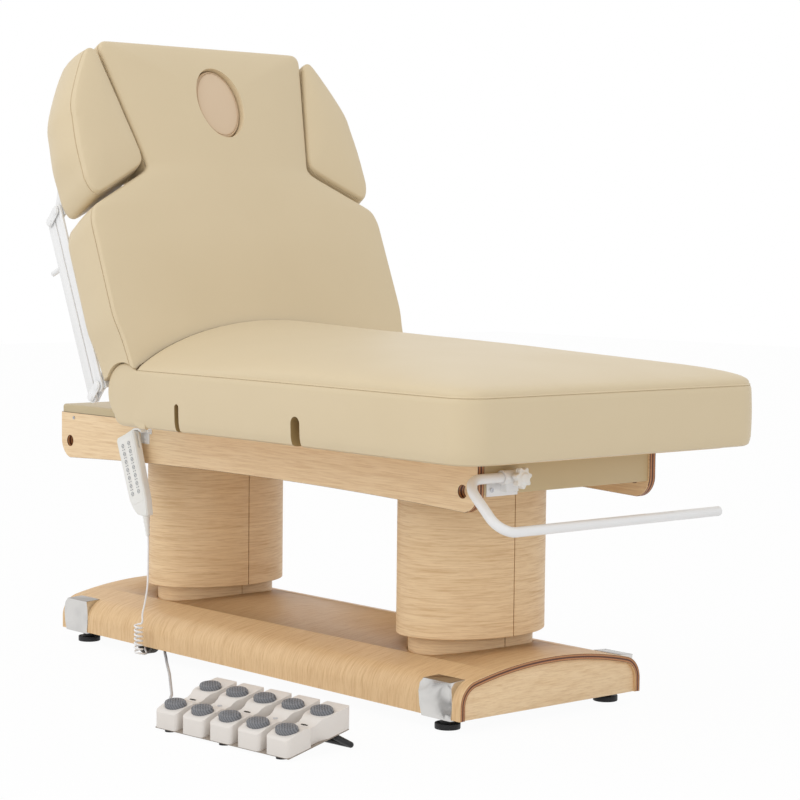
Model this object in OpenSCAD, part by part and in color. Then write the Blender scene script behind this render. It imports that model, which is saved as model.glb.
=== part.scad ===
// Spa treatment bed: two lifting columns on a bent wood base, tilting top, hinged backrest with lowering
// arm pads.
// Millimetres. X runs along the bed to the foot end, the hand controls hang on the -Y side, Z is up.

/* [Base] */
// Length of the bent wood base
base_l = 1413.6; // [1300:10:1500]
// Width of the base
base_w = 513; // [504:1:530]
// Height of the base's lower edge
base_z = 26.7; // [22:0.5:34]
// Height of the base's crown
base_top = 129; // [124:1:138]
// Thickness of the bent shell
shell_t = 13; // [10:0.5:16]
// Shoulder radius of the base
shoulder_r = 50; // [42:1:54]
// Height of the crown's arc over the shoulders
crown_rise = 25; // [20:1:30]
// Head end of the base
base_head_x = -745.4; // [-760:1:-730]
// Thickness of the corner caps over the shell's side
cap_t = 4.5; // [3:0.1:6]
// Length of a corner cap
cap_l = 96; // [84:1:110]
// Radius of a levelling foot
foot_r = 26; // [20:0.5:30]
// Distance of the feet's middles from the base's sides
foot_side = 30.5; // [22:0.5:38]
// Distance of the feet from the base's ends
foot_in = 70; // [60:1:80]

/* [Columns] */
// Distance of the foot column's middle from the base's foot end
col_foot_in = 247.2; // [227:0.1:267]
// Distance of the head column's middle from the base's head end
col_head_in = 271.4; // [251:0.1:291]
// Half length of an outer cover
cover_a = 129; // [124:1:140]
// Half width of an outer cover
cover_b = 176; // [166:1:188]
// Roundness of a cover's outline
cover_p = 2; // [2:0.1:2.8]
// Step from the outer to the inner cover
cover_step = 25; // [21:0.5:28]
// Wall of the covers
cover_t = 9; // [6:0.5:11]
// Height of an outer cover's lower edge
cover_z = 153.4; // [146:0.5:162]
// Height of an outer cover's upper edge
cover_top = 506; // [498:1:508]
// Side of the fixed lifting tube
tube_s = 120; // [100:1:130]
// Wall of the fixed lifting tube
tube_t = 5; // [4:0.5:7]

/* [Top frame] */
// Head end of the rails and the deck
rail_head_x = -755.5; // [-770:1:-740]
// Foot end of the rails
rail_foot_x = 704.9; // [690:1:720]
// Distance over the two rails
rail_w = 505.4; // [490:1:520]
// Thickness of a rail
rail_t = 17.6; // [15:0.2:22]
// Height of the rails' upper edge
rail_top = 547; // [543:0.5:548]
// Height of the rails' lower edge at the ends
rail_low = 438; // [430:1:446]
// Rise of the rails' lower edge in the middle
rail_arch = 14; // [8:1:28]
// Radius of the rails' lower corners
rail_r = 45; // [35:1:55]
// Radius of the holes near the rails' ends
rail_hole_r = 13.5; // [9:0.5:16]
// Thickness of the padded deck
deck_t = 19; // [15:0.5:19.5]

/* [Seat] */
// Width of the seat cushion at the head end
seat_w = 800; // [780:2:820]
// Widening of each side towards the foot end
seat_flare = 18; // [0:1:20]
// Foot end of the seat cushion
seat_foot_x = 849.6; // [830:1:880]
// Height of the cushion's lower edge
seat_low = 549; // [548:0.5:552]
// Height of the cushion's seam
seat_seam = 679; // [672:1:684]
// Crown over the seam at the head end
crown_head = 101; // [60:1:110]
// Crown over the seam at the foot end
crown_foot = 40; // [25:1:60]
// Corner radius at the foot end
seat_r = 60; // [50:1:80]
// Width of the first strap slot
slot_a = 15; // [10:1:20]
// Width of the second strap slot
slot_b = 30; // [20:1:34]
// Height of the strap slots
slot_h = 62; // [50:1:70]
// Radius of the rounded cheeks beside the hinge
cheek_r = 66; // [63:0.5:67]
// Thickness of a cheek
cheek_t = 24; // [20:1:26]

/* [Backrest] */
// Angle of the backrest over the flat
back_deg = 67.69; // [60:0.5:70]
// Height of the backrest's hinge
hinge_z = 624; // [623.5:0.1:625]
// Place of the hinge along the bed
hinge_x = -277.6; // [-282:0.5:-274]
// Half width of the backrest
back_hw = 420; // [414:1:426]
// Length from the hinge to the head end
back_len = 837; // [810:1:860]
// Depth of the hinge under the front seam
hinge_d = 56; // [55:0.2:56.2]
// Depth of the side skirts from the seam
back_t = 124; // [118:0.5:124.5]
// Crown of the backrest's front
back_crown = 22; // [10:1:28]
// Half width of the face opening
face_a = 62; // [54:1:66]
// Half height of the face opening
face_b = 86; // [76:1:92]
// Distance of the face opening's middle from the head end
face_in = 153; // [146:1:170]
// Radius of the hinge shaft
shaft_r = 12; // [10:0.5:14]

/* [Arm pads] */
// Length of the parallel bars between their pins
bar_l = 425.1; // [410:1:430]
// Width of a parallel bar
bar_w = 28; // [22:0.5:29]
// Thickness of a parallel bar
bar_t = 6; // [4:0.5:6.5]
// Radius of the pins
pin_r = 5; // [4:0.5:6]
// Depth of an arm pad
wing_t = 123.7; // [118:0.1:124.3]
// Crown of an arm pad
wing_crown = 12; // [6:1:16]

/* [Foot control] */
// Middle of the foot control along the bed
fc_x = 437; // [410:1:450]
// Middle of the foot control across the bed
fc_y = -602; // [-625:1:-590]
// Turn of the foot control on the floor
fc_deg = 4.3; // [0:0.5:10]
// Distance between the pedal units
unit_pitch = 80.4; // [76:0.2:84]
// Width of a pedal unit
unit_w = 64; // [58:0.5:68]
// Depth of the foot control from front to rear
unit_l = 166; // [160:1:176]
// Distance between a unit's two pads
pad_gap = 90; // [86:0.5:94]
// Half width of a pad across the unit
pad_a = 26; // [22:0.5:28]
// Half length of a pad along the unit
pad_b = 18; // [15:0.5:20]
// Travel of a pad
pad_travel = 4; // [2:0.5:5]

/* [Paper bar and handset] */
// Radius of the paper bar's tube
tube_r = 10; // [8:0.5:11]
// Length of the paper bar's straight run
bar_run = 620; // [560:5:660]
// Length of the handset
hs_l = 196; // [186:1:208]
// Width of the handset at its top
hs_w = 72; // [62:1:78]
// Depth of the handset
hs_t = 18; // [16:0.5:22]
// Tilt of the hanging handset
hs_deg = 20.4; // [16:0.2:24]
// Radius of a curl's middle line
curl_r = 9; // [8:0.5:11]
// Number of curls
curls = 7; // [5:1:9]
// Radius of the handset's cord
cord_r = 2.2; // [1.8:0.1:2.5]
// Radius of the foot control's cord
foot_cord_r = 3.3; // [2.5:0.1:3.6]

/* [Hidden] */
$fn = 48;
eps = 0.01;
soft_gap = 0.3;
run_gap = 0.05;

// Helpers
function smooth(t) = t <= 0 ? 0 : t >= 1 ? 1 : t * t * (3 - 2 * t);
function arc(cx, cy, r, a0, a1, n) = [for (i = [0 : n]) let (a = a0 + (a1 - a0) * i / n) [cx + r * cos(a),
    cy + r * sin(a)]];
function oval(a, b, p, n) = [for (i = [0 : n - 1]) let (t = 360 * i / n, c = cos(t), s = sin(t))
  [a * sign(c) * pow(abs(c), 2 / p), b * sign(s) * pow(abs(s), 2 / p)]];
function flip(list) = [for (i = [len(list) - 1 : -1 : 0]) list[i]];
function mirror_y(list) = [for (p = list) [-p[0], p[1]]];

// Frame of the drawing: the origin is the middle of the whole object's box, on the floor
seat_bulge = 2;
box_x0 = rail_head_x - 0.5;
box_x1 = seat_foot_x;
plate_hl = 2 * unit_pitch + unit_w / 2 + 2;
fc_front = -0.435 * unit_l;
box_y0 = fc_y - (2 * unit_pitch + unit_w / 2 - 9) * sin(fc_deg) + fc_front * cos(fc_deg);
box_y1 = back_hw;
mid_x = (box_x0 + box_x1) / 2;
mid_y = (box_y0 + box_y1) / 2;
module place() {
  translate([-mid_x, -mid_y, 0]) children();
}
module both() {
  children();
  mirror([0, 1, 0]) children();
}

// Base
base_hw = base_w / 2;
foot_y = base_hw - foot_side;
base_foot_x = base_head_x + base_l;
col_foot_x = base_foot_x - col_foot_in;
col_head_x = base_head_x + col_head_in;
function crown_radius(hw, rise) = (hw * hw + rise * rise) / (2 * rise);
shoulder_y = base_hw - shoulder_r;
crown_R = crown_radius(shoulder_y + 10, crown_rise);
crown_cz = base_top - crown_R;
shoulder_z = crown_cz + sqrt(pow(crown_R - shoulder_r, 2) - pow(shoulder_y, 2));
crown_deg = atan(shoulder_y / (shoulder_z - crown_cz));
function arch_line(off, low) = concat(
  [[base_hw + off, low]],
  arc(shoulder_y, shoulder_z, shoulder_r + off, 0, 90 - crown_deg, 8),
  arc(0, crown_cz, crown_R + off, 90 - crown_deg, 90 + crown_deg, 14),
  arc(-shoulder_y, shoulder_z, shoulder_r + off, 90 + crown_deg, 180, 8),
  [[-base_hw - off, low]]);
module along_x(x0, x1) {
  translate([x0, 0, 0]) rotate([90, 0, 90]) linear_extrude(height = x1 - x0) children();
}
frame_z = 32;
frame_h = 28;
plate_top = frame_z + frame_h + 8;
plate_a = cover_a - cover_step + 4;
plate_b = cover_b - cover_step - 1;
module cover_hole(gap) {
  for (x = [col_foot_x, col_head_x])
    translate([x, 0, base_top - 60])
      linear_extrude(height = 80) polygon(oval(cover_a - cover_step + gap, cover_b - cover_step + gap,
          cover_p, 48));
}
module base_shell() {
  color("burlywood") place() difference() {
    along_x(base_head_x, base_foot_x)
      polygon(concat(arch_line(0, base_z), flip(arch_line(-shell_t, base_z))));
    cover_hole(3);
  }
}
panel_t = 8;
panel_in = 6;
inlet_z = 76;
inlet_y = 90;
module base_end_panels() {
  color("wheat") place() {
    along_x(base_foot_x - panel_in - panel_t, base_foot_x - panel_in) polygon(arch_line(-shell_t, base_z));
    difference() {
      along_x(base_head_x + panel_in, base_head_x + panel_in + panel_t) polygon(arch_line(-shell_t,
          base_z));
      translate([base_head_x, inlet_y - 14, inlet_z - 10]) cube([30, 28, 20]);
    }
  }
}
foot_xs = [base_head_x + foot_in, base_foot_x - foot_in];
bar_w2 = 20;
module base_frame() {
  color("dimgray") place() difference() {
    union() {
      for (x = foot_xs)
        translate([x - bar_w2, -base_hw + shell_t + 0.4, frame_z]) cube([2 * bar_w2,
            base_w - 2 * shell_t - 0.8, frame_h]);
      for (y = [-90, 90])
        translate([foot_xs[0], y - 15, frame_z]) cube([foot_xs[1] - foot_xs[0], 30, frame_h]);
      for (x = [col_foot_x, col_head_x])
        translate([x - plate_a, -plate_b, frame_z + frame_h]) cube([2 * plate_a, 2 * plate_b, 8]);
    }
    for (x = foot_xs)
      for (y = [-foot_y, foot_y])
        translate([x, y, frame_z - 1]) cylinder(r = foot_stem_r + run_gap, h = frame_h + 2);
  }
}
cap_low = base_z - 2.4;
cap_edge = 101;
cap_in_foot = 25.2;
cap_in_head = 12.4;
scoop_r = 225;
module cap_blank() {
  along_x(0, cap_l) difference() {
    polygon([[base_hw - shell_t + 1, cap_low], [base_hw + cap_t, cap_low], [base_hw + cap_t, cap_edge],
      [base_hw - 34.5, cap_edge + 2.6], [base_hw - 90, base_top - 60]]);
    polygon(arch_line(0, base_z));
  }
}
module corner_cap() {
  difference() {
    intersection() {
      cap_blank();
      translate([0, base_hw + 40, 0]) rotate([90, 0, 0]) linear_extrude(height = 140)
        polygon([[12, cap_low - 1], [5, 45], [2, 72], [6, 90], [17, cap_edge], [26, cap_edge + 8],
            [cap_l, cap_edge + 8],
          [cap_l, cap_low - 1]]);
    }
    translate([cap_l + 8, base_hw + 0.5 + scoop_r, 62]) sphere(r = scoop_r, $fn = 120);
  }
}
module corner_caps() {
  color("silver") place() {
    for (m = [0, 1]) {
      mirror([0, m, 0]) translate([base_foot_x - cap_in_foot - cap_l, 0, 0]) corner_cap();
      mirror([0, m, 0]) translate([base_head_x + cap_in_head, 0, 0]) corner_cap();
    }
  }
}
foot_stem_r = 6;
module level_foot(i) {
  color([0.12, 0.12, 0.12]) place() translate([foot_xs[i % 2], i < 2 ? -foot_y : foot_y, 0]) {
    cylinder(r = foot_r, h = 12);
    translate([0, 0, 12 - eps]) cylinder(r = foot_r * 0.55, h = 7);
    translate([0, 0, 18]) cylinder(r = foot_stem_r, h = frame_z + frame_h - 18);
  }
}
module level_foot_1() { level_foot(0); }
module level_foot_2() { level_foot(1); }
module level_foot_3() { level_foot(2); }
module level_foot_4() { level_foot(3); }

// Control box and sockets
box_l = 166;
box_x = col_head_x - 18;
box_y = -base_hw + 48.5;
box_w = -box_y - 108;
box_z = 28;
box_h = frame_z + frame_h - soft_gap - box_z;
plug_r = 34;
plug_at = [box_x + 56, box_y - 26, 36.5];
plug_l = 26;
sock_x = box_x + 140;
sock_z = 38;
sock_r = 8;
sock_l = 12;
sock_y = box_y - sock_l;
module control_box() {
  color([0.2, 0.2, 0.22]) place() {
    difference() {
      translate([box_x, box_y, box_z]) cube([box_l, box_w, box_h]);
      translate([box_x + 8, box_y + 30, box_z - 1]) cube([box_l - 16, box_w - 60, 2]);
    }
    translate([plug_at[0], box_y + eps, plug_at[2]]) rotate([90, 0, 0]) {
      cylinder(r = plug_r - 6, h = plug_l - 10);
      translate([0, 0, 6]) cylinder(r = plug_r, h = plug_l - 11);
      translate([0, 0, plug_l - 5 - eps]) cylinder(r1 = plug_r, r2 = plug_r - 5, h = 5);
    }
    translate([sock_x, box_y + eps, sock_z]) rotate([90, 0, 0]) cylinder(r = sock_r, h = sock_l);
    difference() {
      translate([base_head_x + panel_in - 2, inlet_y - 14 + 0.1, inlet_z - 10 + 0.1]) cube([24, 27.8,
          19.8]);
      translate([base_head_x + panel_in - 3, inlet_y - 12, inlet_z - 8]) cube([18, 24, 16]);
    }
  }
}

// Columns
inner_top = 478;
module half_cover(a, b, t, z0, z1, seam) {
  difference() {
    translate([0, 0, z0]) linear_extrude(height = z1 - z0) difference() {
      polygon(oval(a, b, cover_p, 48));
      polygon(oval(a - t, b - t, cover_p, 48));
      translate([-a - 5, -b - 5]) square([2 * a + 10, b + 5 + seam / 2]);
    }
  }
}
module cover_pair(x, a, b, z0, z1) {
  translate([x, 0, 0]) {
    half_cover(a, b, cover_t, z0, z1, 1.6);
    mirror([0, 1, 0]) half_cover(a, b, cover_t, z0, z1, 1.6);
  }
}
module inner_covers() {
  color("tan") place() {
    cover_pair(col_foot_x, cover_a - cover_step, cover_b - cover_step, plate_top, inner_top);
    cover_pair(col_head_x, cover_a - cover_step, cover_b - cover_step, plate_top, inner_top);
  }
}
module square_tube(s, t, z0, z1) {
  difference() {
    translate([-s / 2, -s / 2, z0]) cube([s, s, z1 - z0]);
    translate([-s / 2 + t, -s / 2 + t, z0 - 1]) cube([s - 2 * t, s - 2 * t, z1 - z0 + 2]);
  }
}
fixed_top = 440;
module fixed_tubes() {
  color("lightgray") place()
    for (x = [col_foot_x, col_head_x]) translate([x, 0, 0]) square_tube(tube_s, tube_t, plate_top,
        fixed_top);
}
top_plate_z = 484;
lug_top = 524;
pivot_z = 512;
pivot_r = 9;
module outer_cover(x) {
  color("peru") place() cover_pair(x, cover_a, cover_b, cover_z, cover_top);
}
module foot_cover() { outer_cover(col_foot_x); }
module head_cover() { outer_cover(col_head_x); }
moving_s = tube_s - 2 * tube_t - 0.4;
module top_plate() {
  translate([0, 0, top_plate_z]) linear_extrude(height = 6)
    polygon(oval(cover_a - cover_t - 0.2, cover_b - cover_t - 0.2, cover_p, 48));
}
module foot_tube() {
  color("silver") place() translate([col_foot_x, 0, 0]) {
    square_tube(moving_s, tube_t, plate_top + 4, top_plate_z);
    top_plate();
    difference() {
      for (y = [-46, 34])
        translate([-20, y, top_plate_z + 5]) cube([40, 12, lug_top - top_plate_z - 5 - 12]);
      translate([0, 60, pivot_z]) rotate([90, 0, 0]) cylinder(r = pivot_r - 1, h = 120);
    }
    for (y = [-46, 34])
      translate([0, y, pivot_z]) rotate([-90, 0, 0]) cylinder(r = 12, h = 12);
    translate([0, -72, pivot_z]) rotate([-90, 0, 0]) cylinder(r = pivot_r, h = 144);
  }
}
slot_len = 14;
module head_tube() {
  color("silver") place() translate([col_head_x, 0, 0]) {
    square_tube(moving_s, tube_t, plate_top + 4, top_plate_z);
    top_plate();
    for (y = [-46, 34]) {
      translate([-20, y, top_plate_z + 5]) cube([40, 12, lug_top - top_plate_z - 17]);
      translate([0, y, pivot_z]) rotate([-90, 0, 0]) cylinder(r = 12, h = 12);
    }
    translate([0, -72, pivot_z]) rotate([-90, 0, 0]) cylinder(r = pivot_r, h = 144);
  }
}

// Top frame
rail_hw = rail_w / 2;
rail_in = rail_hw - rail_t;
member_z = rail_top - 20;
hole_in = 37;
hole_z = 479.5;
function rail_outline() = let (n = 18, x0 = rail_head_x, x1 = rail_foot_x, lo = rail_low)
  concat([[x0, rail_top]],
    arc(x0 + rail_r, lo + rail_r, rail_r, 180, 258, 7),
    [for (i = [1 : n - 1]) let (t = i / n, x = x0 + rail_r + 20 + (x1 - x0 - 2 * rail_r - 40) * t)
      [x, lo + 2 + rail_arch * (1 - pow(abs(2 * t - 1), 2.2))]],
    arc(x1 - rail_r, lo + rail_r, rail_r, 282, 360, 7),
    [[x1, rail_top]]);
module side_rails() {
  color("burlywood") place() both() difference() {
    translate([0, -rail_in, 0]) rotate([90, 0, 0]) linear_extrude(height = rail_t) polygon(rail_outline());
    for (x = [rail_head_x + hole_in, rail_foot_x - hole_in - 6])
      translate([x, -rail_in + 1, hole_z]) rotate([90, 0, 0]) cylinder(r = rail_hole_r, h = rail_t + 2);
  }
}
panel_low = 473.7;
end_in = 4.5;
end_t = 13;
module top_end_panels() {
  color("tan") place() {
    translate([rail_foot_x - end_in - end_t, -rail_in, panel_low]) cube([end_t, 2 * rail_in,
        rail_top - panel_low]);
    translate([rail_head_x + end_in, -rail_in, panel_low]) cube([end_t, 2 * rail_in, rail_top - panel_low]);
  }
}
bar_x0 = hinge_x - 14.5;
bar_x1 = hinge_x + 17.5;
module deck() {
  x0 = rail_head_x - 0.5;
  r = 7;
  color("tan") place() translate([0, 0, rail_top]) {
    translate([x0 + r, -rail_hw, 0]) cube([bar_x0 - 1 - x0 - r, rail_w, deck_t - r]);
    translate([x0, -rail_hw + 12, 0]) cube([r + eps, rail_w - 24, deck_t - r]);
    translate([x0 + r, -rail_hw + r, deck_t - r - eps]) cube([bar_x0 - 1 - x0 - r, rail_w - 2 * r,
        r + eps]);
    for (s = [-1, 1])
      translate([x0 + r, s * (rail_hw - r), deck_t - r]) rotate([0, 90, 0]) cylinder(r = r,
          h = bar_x0 - 1 - x0 - r);
  }
}
module member(x) {
  translate([x - 40, -rail_in, member_z]) cube([80, 2 * rail_in, 20]);
}
module top_frame() {
  color("gray") place() {
    difference() {
      union() {
        member(col_foot_x);
        member(col_head_x);
        for (s = [-1, 1])
          translate([col_head_x - 160, s * (rail_in - 13) - 13,
              member_z]) cube([col_foot_x - col_head_x + 400, 26, 20]);
        for (y = [-70, 60]) {
          translate([col_foot_x - 24, y, pivot_z - 8]) cube([48, 10, member_z - pivot_z + 9]);
          translate([col_head_x - 30, y, pivot_z - 8]) cube([60, 10, member_z - pivot_z + 9]);
          translate([col_foot_x, y, pivot_z]) rotate([-90, 0, 0]) cylinder(r = 15, h = 10);
        }
        for (y = [-70, 60])
          translate([col_head_x - 30, y, pivot_z - 15]) cube([60, 10, 10]);
      }
      translate([col_foot_x, -80, pivot_z]) rotate([-90, 0, 0]) cylinder(r = pivot_r + run_gap, h = 160);
      translate([col_head_x - slot_len, -80, pivot_z - pivot_r - 0.4]) cube([2 * slot_len, 160,
          2 * pivot_r + 0.8]);
    }
  }
}
upright_y0 = 362;
upright_y1 = upright_y0 + 13.7;
module hinge_brackets() {
  color("whitesmoke") place() {
    translate([bar_x0, -upright_y1, rail_top]) cube([bar_x1 - bar_x0, 2 * upright_y1, deck_t - 0.5]);
    both() difference() {
      union() {
        translate([hinge_x - 14, -upright_y1, rail_top + 10]) cube([28, upright_y1 - upright_y0,
            hinge_z - rail_top - 10]);
        translate([hinge_x, -upright_y0, hinge_z]) rotate([90, 0, 0]) cylinder(r = 19,
            h = upright_y1 - upright_y0);
      }
      translate([hinge_x, -upright_y0 + 1, hinge_z]) rotate([90, 0, 0]) cylinder(r = shaft_r + run_gap,
          h = 20);
    }
  }
}

// Seat
skirt_w = 50;
board_t = 13.2;
seat_hw = seat_w / 2;
rec_z = rail_top + board_t + soft_gap;
seat_x0 = bar_x1 + 5;
board_hw = seat_hw - skirt_w - 1;
board_x1 = seat_foot_x - seat_r + seat_r * sin(37) - 1;
module seat_board() {
  color("goldenrod") place()
    translate([0, 0, rail_top]) linear_extrude(height = board_t) polygon(concat(
      [[seat_x0 + 1, board_hw], [seat_x0 + 1, -board_hw]],
      arc(board_x1 - 42, -board_hw + 42, 42, -90, 0, 8),
      arc(board_x1 - 42, board_hw - 42, 42, 0, 90, 8)));
}
cut_r = hinge_d + 1.2;
plane_gap = 3.5;
tan_z = hinge_z + (hinge_d + plane_gap) * cos(back_deg);
tan_x = hinge_x + (hinge_d + plane_gap) * sin(back_deg);
function head_x(z) = z >= tan_z ? tan_x - (z - tan_z) / tan(back_deg)
  : z > hinge_z - cut_r + 1 ? hinge_x + max(seat_x0 - hinge_x + eps,
      sqrt(pow(cut_r, 2) - pow(z - hinge_z, 2)) + smooth((z - hinge_z) / (tan_z - hinge_z)) * 2.4)
  : seat_x0;
fr = [0.985, 0.95, 0.88, 0.76, 0.6, 0.42, 0.24, 0.08];
function bow(t) = pow(max(0, 1 - pow(min(abs(t), 1), 2.5)), 0.4);
fall_l = 400;
function swell(t, k) = pow(max(0, 1 - pow(min(abs(t), 1), 2 + 0.5 * k)), 0.85 - 0.45 * k);
function seat_crown(x) = (crown_head + (crown_foot - crown_head) * (x - seat_x0) / (seat_foot_x - seat_x0))
  * bow(0.9995 * max(0, x - seat_foot_x + fall_l) / fall_l);
wall_z = [0.2, 0.31, 0.43, 0.55, 0.66, 0.76, 0.86];
function seat_half(w, rec, outer, c, k) = let (m = seat_seam - seat_low) concat(
  [[w - skirt_w, seat_low + rec], [w - skirt_w, seat_low], [w - 11, seat_low],
      [w - 3, seat_low + outer * 0.3], [w, seat_low + outer]],
  [for (f = wall_z) [w + seat_bulge * sin(f * 180), seat_low + f * m]],
  [[w - 1.5, seat_seam - 6], [w - 4, seat_seam]],
  [for (f = fr) [(w - 4) * f, seat_seam + c * swell(f, k)]]);
body_x = [0, 12, 40, 110, 220, 360, 500, 640];
tail_x = [400, 300, 210, 140, 95];
corner_deg = [0, 20, 37, 38.5, 52, 66, 79, 90];
rec_h = rec_z - seat_low;
function flare(x) = seat_flare * smooth((x - seat_x0 - 400) / (seat_foot_x - seat_r - seat_x0 - 400));
function seat_station(i) = i < 13 ? let (x = i < 8 ? seat_x0 + body_x[i] : seat_foot_x - tail_x[i - 8])
      [x, seat_hw + flare(x), rec_h]
  : let (a = corner_deg[i - 13]) [seat_foot_x - seat_r + seat_r * sin(a),
      seat_hw + seat_flare - seat_r + seat_r * cos(a), a < 38 ? rec_h : 3];
function seat_ring(i) = let (s = seat_station(i), k = smooth((s[0] - seat_x0) / 600),
    half = seat_half(s[1], s[2], i < 20 ? rec_h : 3, seat_crown(s[0]), k),
    pts = concat([for (p = half) [-p[0], p[1]]], [for (p = flip(half)) p]))
  [for (p = pts) [i < 2 ? head_x(p[1]) + body_x[i] : i == 2 ? max(s[0], head_x(p[1]) + 26) : s[0], p[0],
      p[1]]];
// Side walls between rings. The last end is flat; the first is too, or is made of level strips where k
// names
// the outer point level with the recess
function tube_faces(m, n) = [for (i = [0 : m - 2]) for (j = [0 : n - 1]) let (a = i * n + j,
    b = i * n + (j + 1) % n, c = a + n, d = b + n)
  each [[a, b, d], [a, d, c]]];
function cap_faces(o, n, k) = concat(
  [[for (j = [0 : k]) o + j], [for (j = [k : -1 : 0]) o + n - 1 - j],
      [o, o + k, o + k + 1, o + n - 2 - k, o + n - 1 - k, o + n - 1]],
  [for (j = [k + 1 : n / 2 - 2]) each [[o + j, o + j + 1, o + n - 2 - j],
      [o + j, o + n - 2 - j, o + n - 1 - j]]]);
function turned(faces) = [for (f = faces) flip(f)];
module loft(rings, k) {
  m = len(rings);
  n = len(rings[0]);
  pts = [for (r = rings) each r];
  first = k > 0 ? turned(cap_faces(0, n, k)) : [[for (j = [n - 1 : -1 : 0]) j]];
  polyhedron(points = pts, faces = concat(tube_faces(m, n), first,
      [[for (j = [0 : n - 1]) (m - 1) * n + j]]));
}
slot_xs = [-79, 331];
module strap_slot(x, w) {
  translate([x, -seat_hw - 12 + skirt_w - 6, seat_low - 1]) rotate([90, 0,
      0]) linear_extrude(height = skirt_w - 6)
    polygon(concat([[-w / 2, 0], [w / 2, 0]], arc(0, slot_h - w / 2, w / 2, 0, 180, 8)));
}
module seat_cushion() {
  color("tan") place() difference() {
    loft([for (i = [0 : 20]) seat_ring(i)], 4);
    both() {
      strap_slot(slot_xs[0], slot_a);
      strap_slot(slot_xs[1], slot_b);
    }
  }
}
cheek_y = upright_y1 + soft_gap;
module cheek_outline() {
  tx = (hinge_d - 0.5) * sin(back_deg);
  tz = (hinge_d - 0.5) * cos(back_deg);
  circle(r = hinge_d - 0.3);
  intersection() {
    union() {
      circle(r = cheek_r);
      polygon([[-33, -60], [-35, -66], [-30, seat_low + 3 - hinge_z], [-24, seat_low - hinge_z],
          [0, seat_low - hinge_z], [0, -30], [-30, -30]]);
    }
    polygon([[0, 0], [tx, tz], [tx - 60 * cos(back_deg), tz + 60 * sin(back_deg)], [-100, 100],
        [-100, -100], [0, -100]]);
  }
  translate([-1, seat_low - hinge_z]) square([seat_x0 - hinge_x + 0.7, hinge_z - seat_low - hinge_d + 2]);
}
module seat_cheeks() {
  color("tan") place() both()
    translate([hinge_x, -cheek_y, hinge_z]) rotate([90, 0,
        0]) linear_extrude(height = cheek_t) cheek_outline();
}

// Fittings on the rails
bar_z = 509;
bar_cx = rail_foot_x - end_in + 20;
sock_y0 = -205;
sock_y1 = -150;
module roll_holder() {
  px = rail_foot_x - end_in;
  color("silver") place() {
    translate([px, -227, 471]) cube([3, 83, 27]);
    for (p = [[-216, 484], [-154, 482]])
      translate([px + 3 - eps, p[0], p[1]]) rotate([0, 90, 0]) cylinder(r = 5, h = 2.5);
    difference() {
      union() {
        translate([bar_cx, sock_y0, bar_z]) rotate([-90, 0, 0]) cylinder(r = tube_r + 4,
            h = sock_y1 - sock_y0);
        translate([px, -190, 480]) cube([bar_cx - px, 32, bar_z - 480]);
        translate([bar_cx, -174, bar_z]) rotate([0, 90, 0]) cylinder(r = 8, h = tube_r + 9);
      }
      translate([bar_cx, sock_y0 - 1, bar_z]) rotate([-90, 0, 0]) cylinder(r = tube_r + run_gap,
          h = sock_y1 - sock_y0 + 2);
      translate([bar_cx, -174, bar_z]) rotate([0, 90, 0]) cylinder(r = 4 + run_gap, h = 60);
    }
  }
}
elbow_r = 40;
reach = 137;
run_y0 = -302;
bar_deg = 42;
module elbow(a) {
  rotate([0, 0, a]) rotate_extrude(angle = 90) translate([elbow_r, 0]) circle(r = tube_r);
}
module paper_bar() {
  color("silver") place() translate([bar_cx, 0, bar_z]) rotate([0, bar_deg, 0]) {
    translate([0, run_y0 + elbow_r, 0]) rotate([-90, 0, 0]) cylinder(r = tube_r,
        h = sock_y1 + 4 - run_y0 - elbow_r);
    translate([elbow_r, run_y0 + elbow_r, 0]) elbow(180);
    translate([elbow_r, run_y0, 0]) rotate([0, 90, 0]) cylinder(r = tube_r, h = reach - 2 * elbow_r);
    translate([reach - elbow_r, run_y0 + elbow_r, 0]) elbow(270);
    translate([reach, run_y0 + elbow_r, 0]) rotate([-90, 0, 0]) cylinder(r = tube_r, h = bar_run - elbow_r);
  }
}
module star_knob() {
  color("whitesmoke") place() translate([bar_cx + tube_r + 9.3, -174, bar_z]) rotate([0, 90, 0]) {
    linear_extrude(height = 13) 
      polygon([for (i = [0 : 55]) let (a = i * 360 / 56, r = 19 + 3 * cos(7 * a)) [r * cos(a),
          r * sin(a)]]);
    translate([0, 0, 12.9]) cylinder(r1 = 12, r2 = 9, h = 4);
    translate([0, 0, -9]) cylinder(r = 4, h = 9.5);
  }
}

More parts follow.
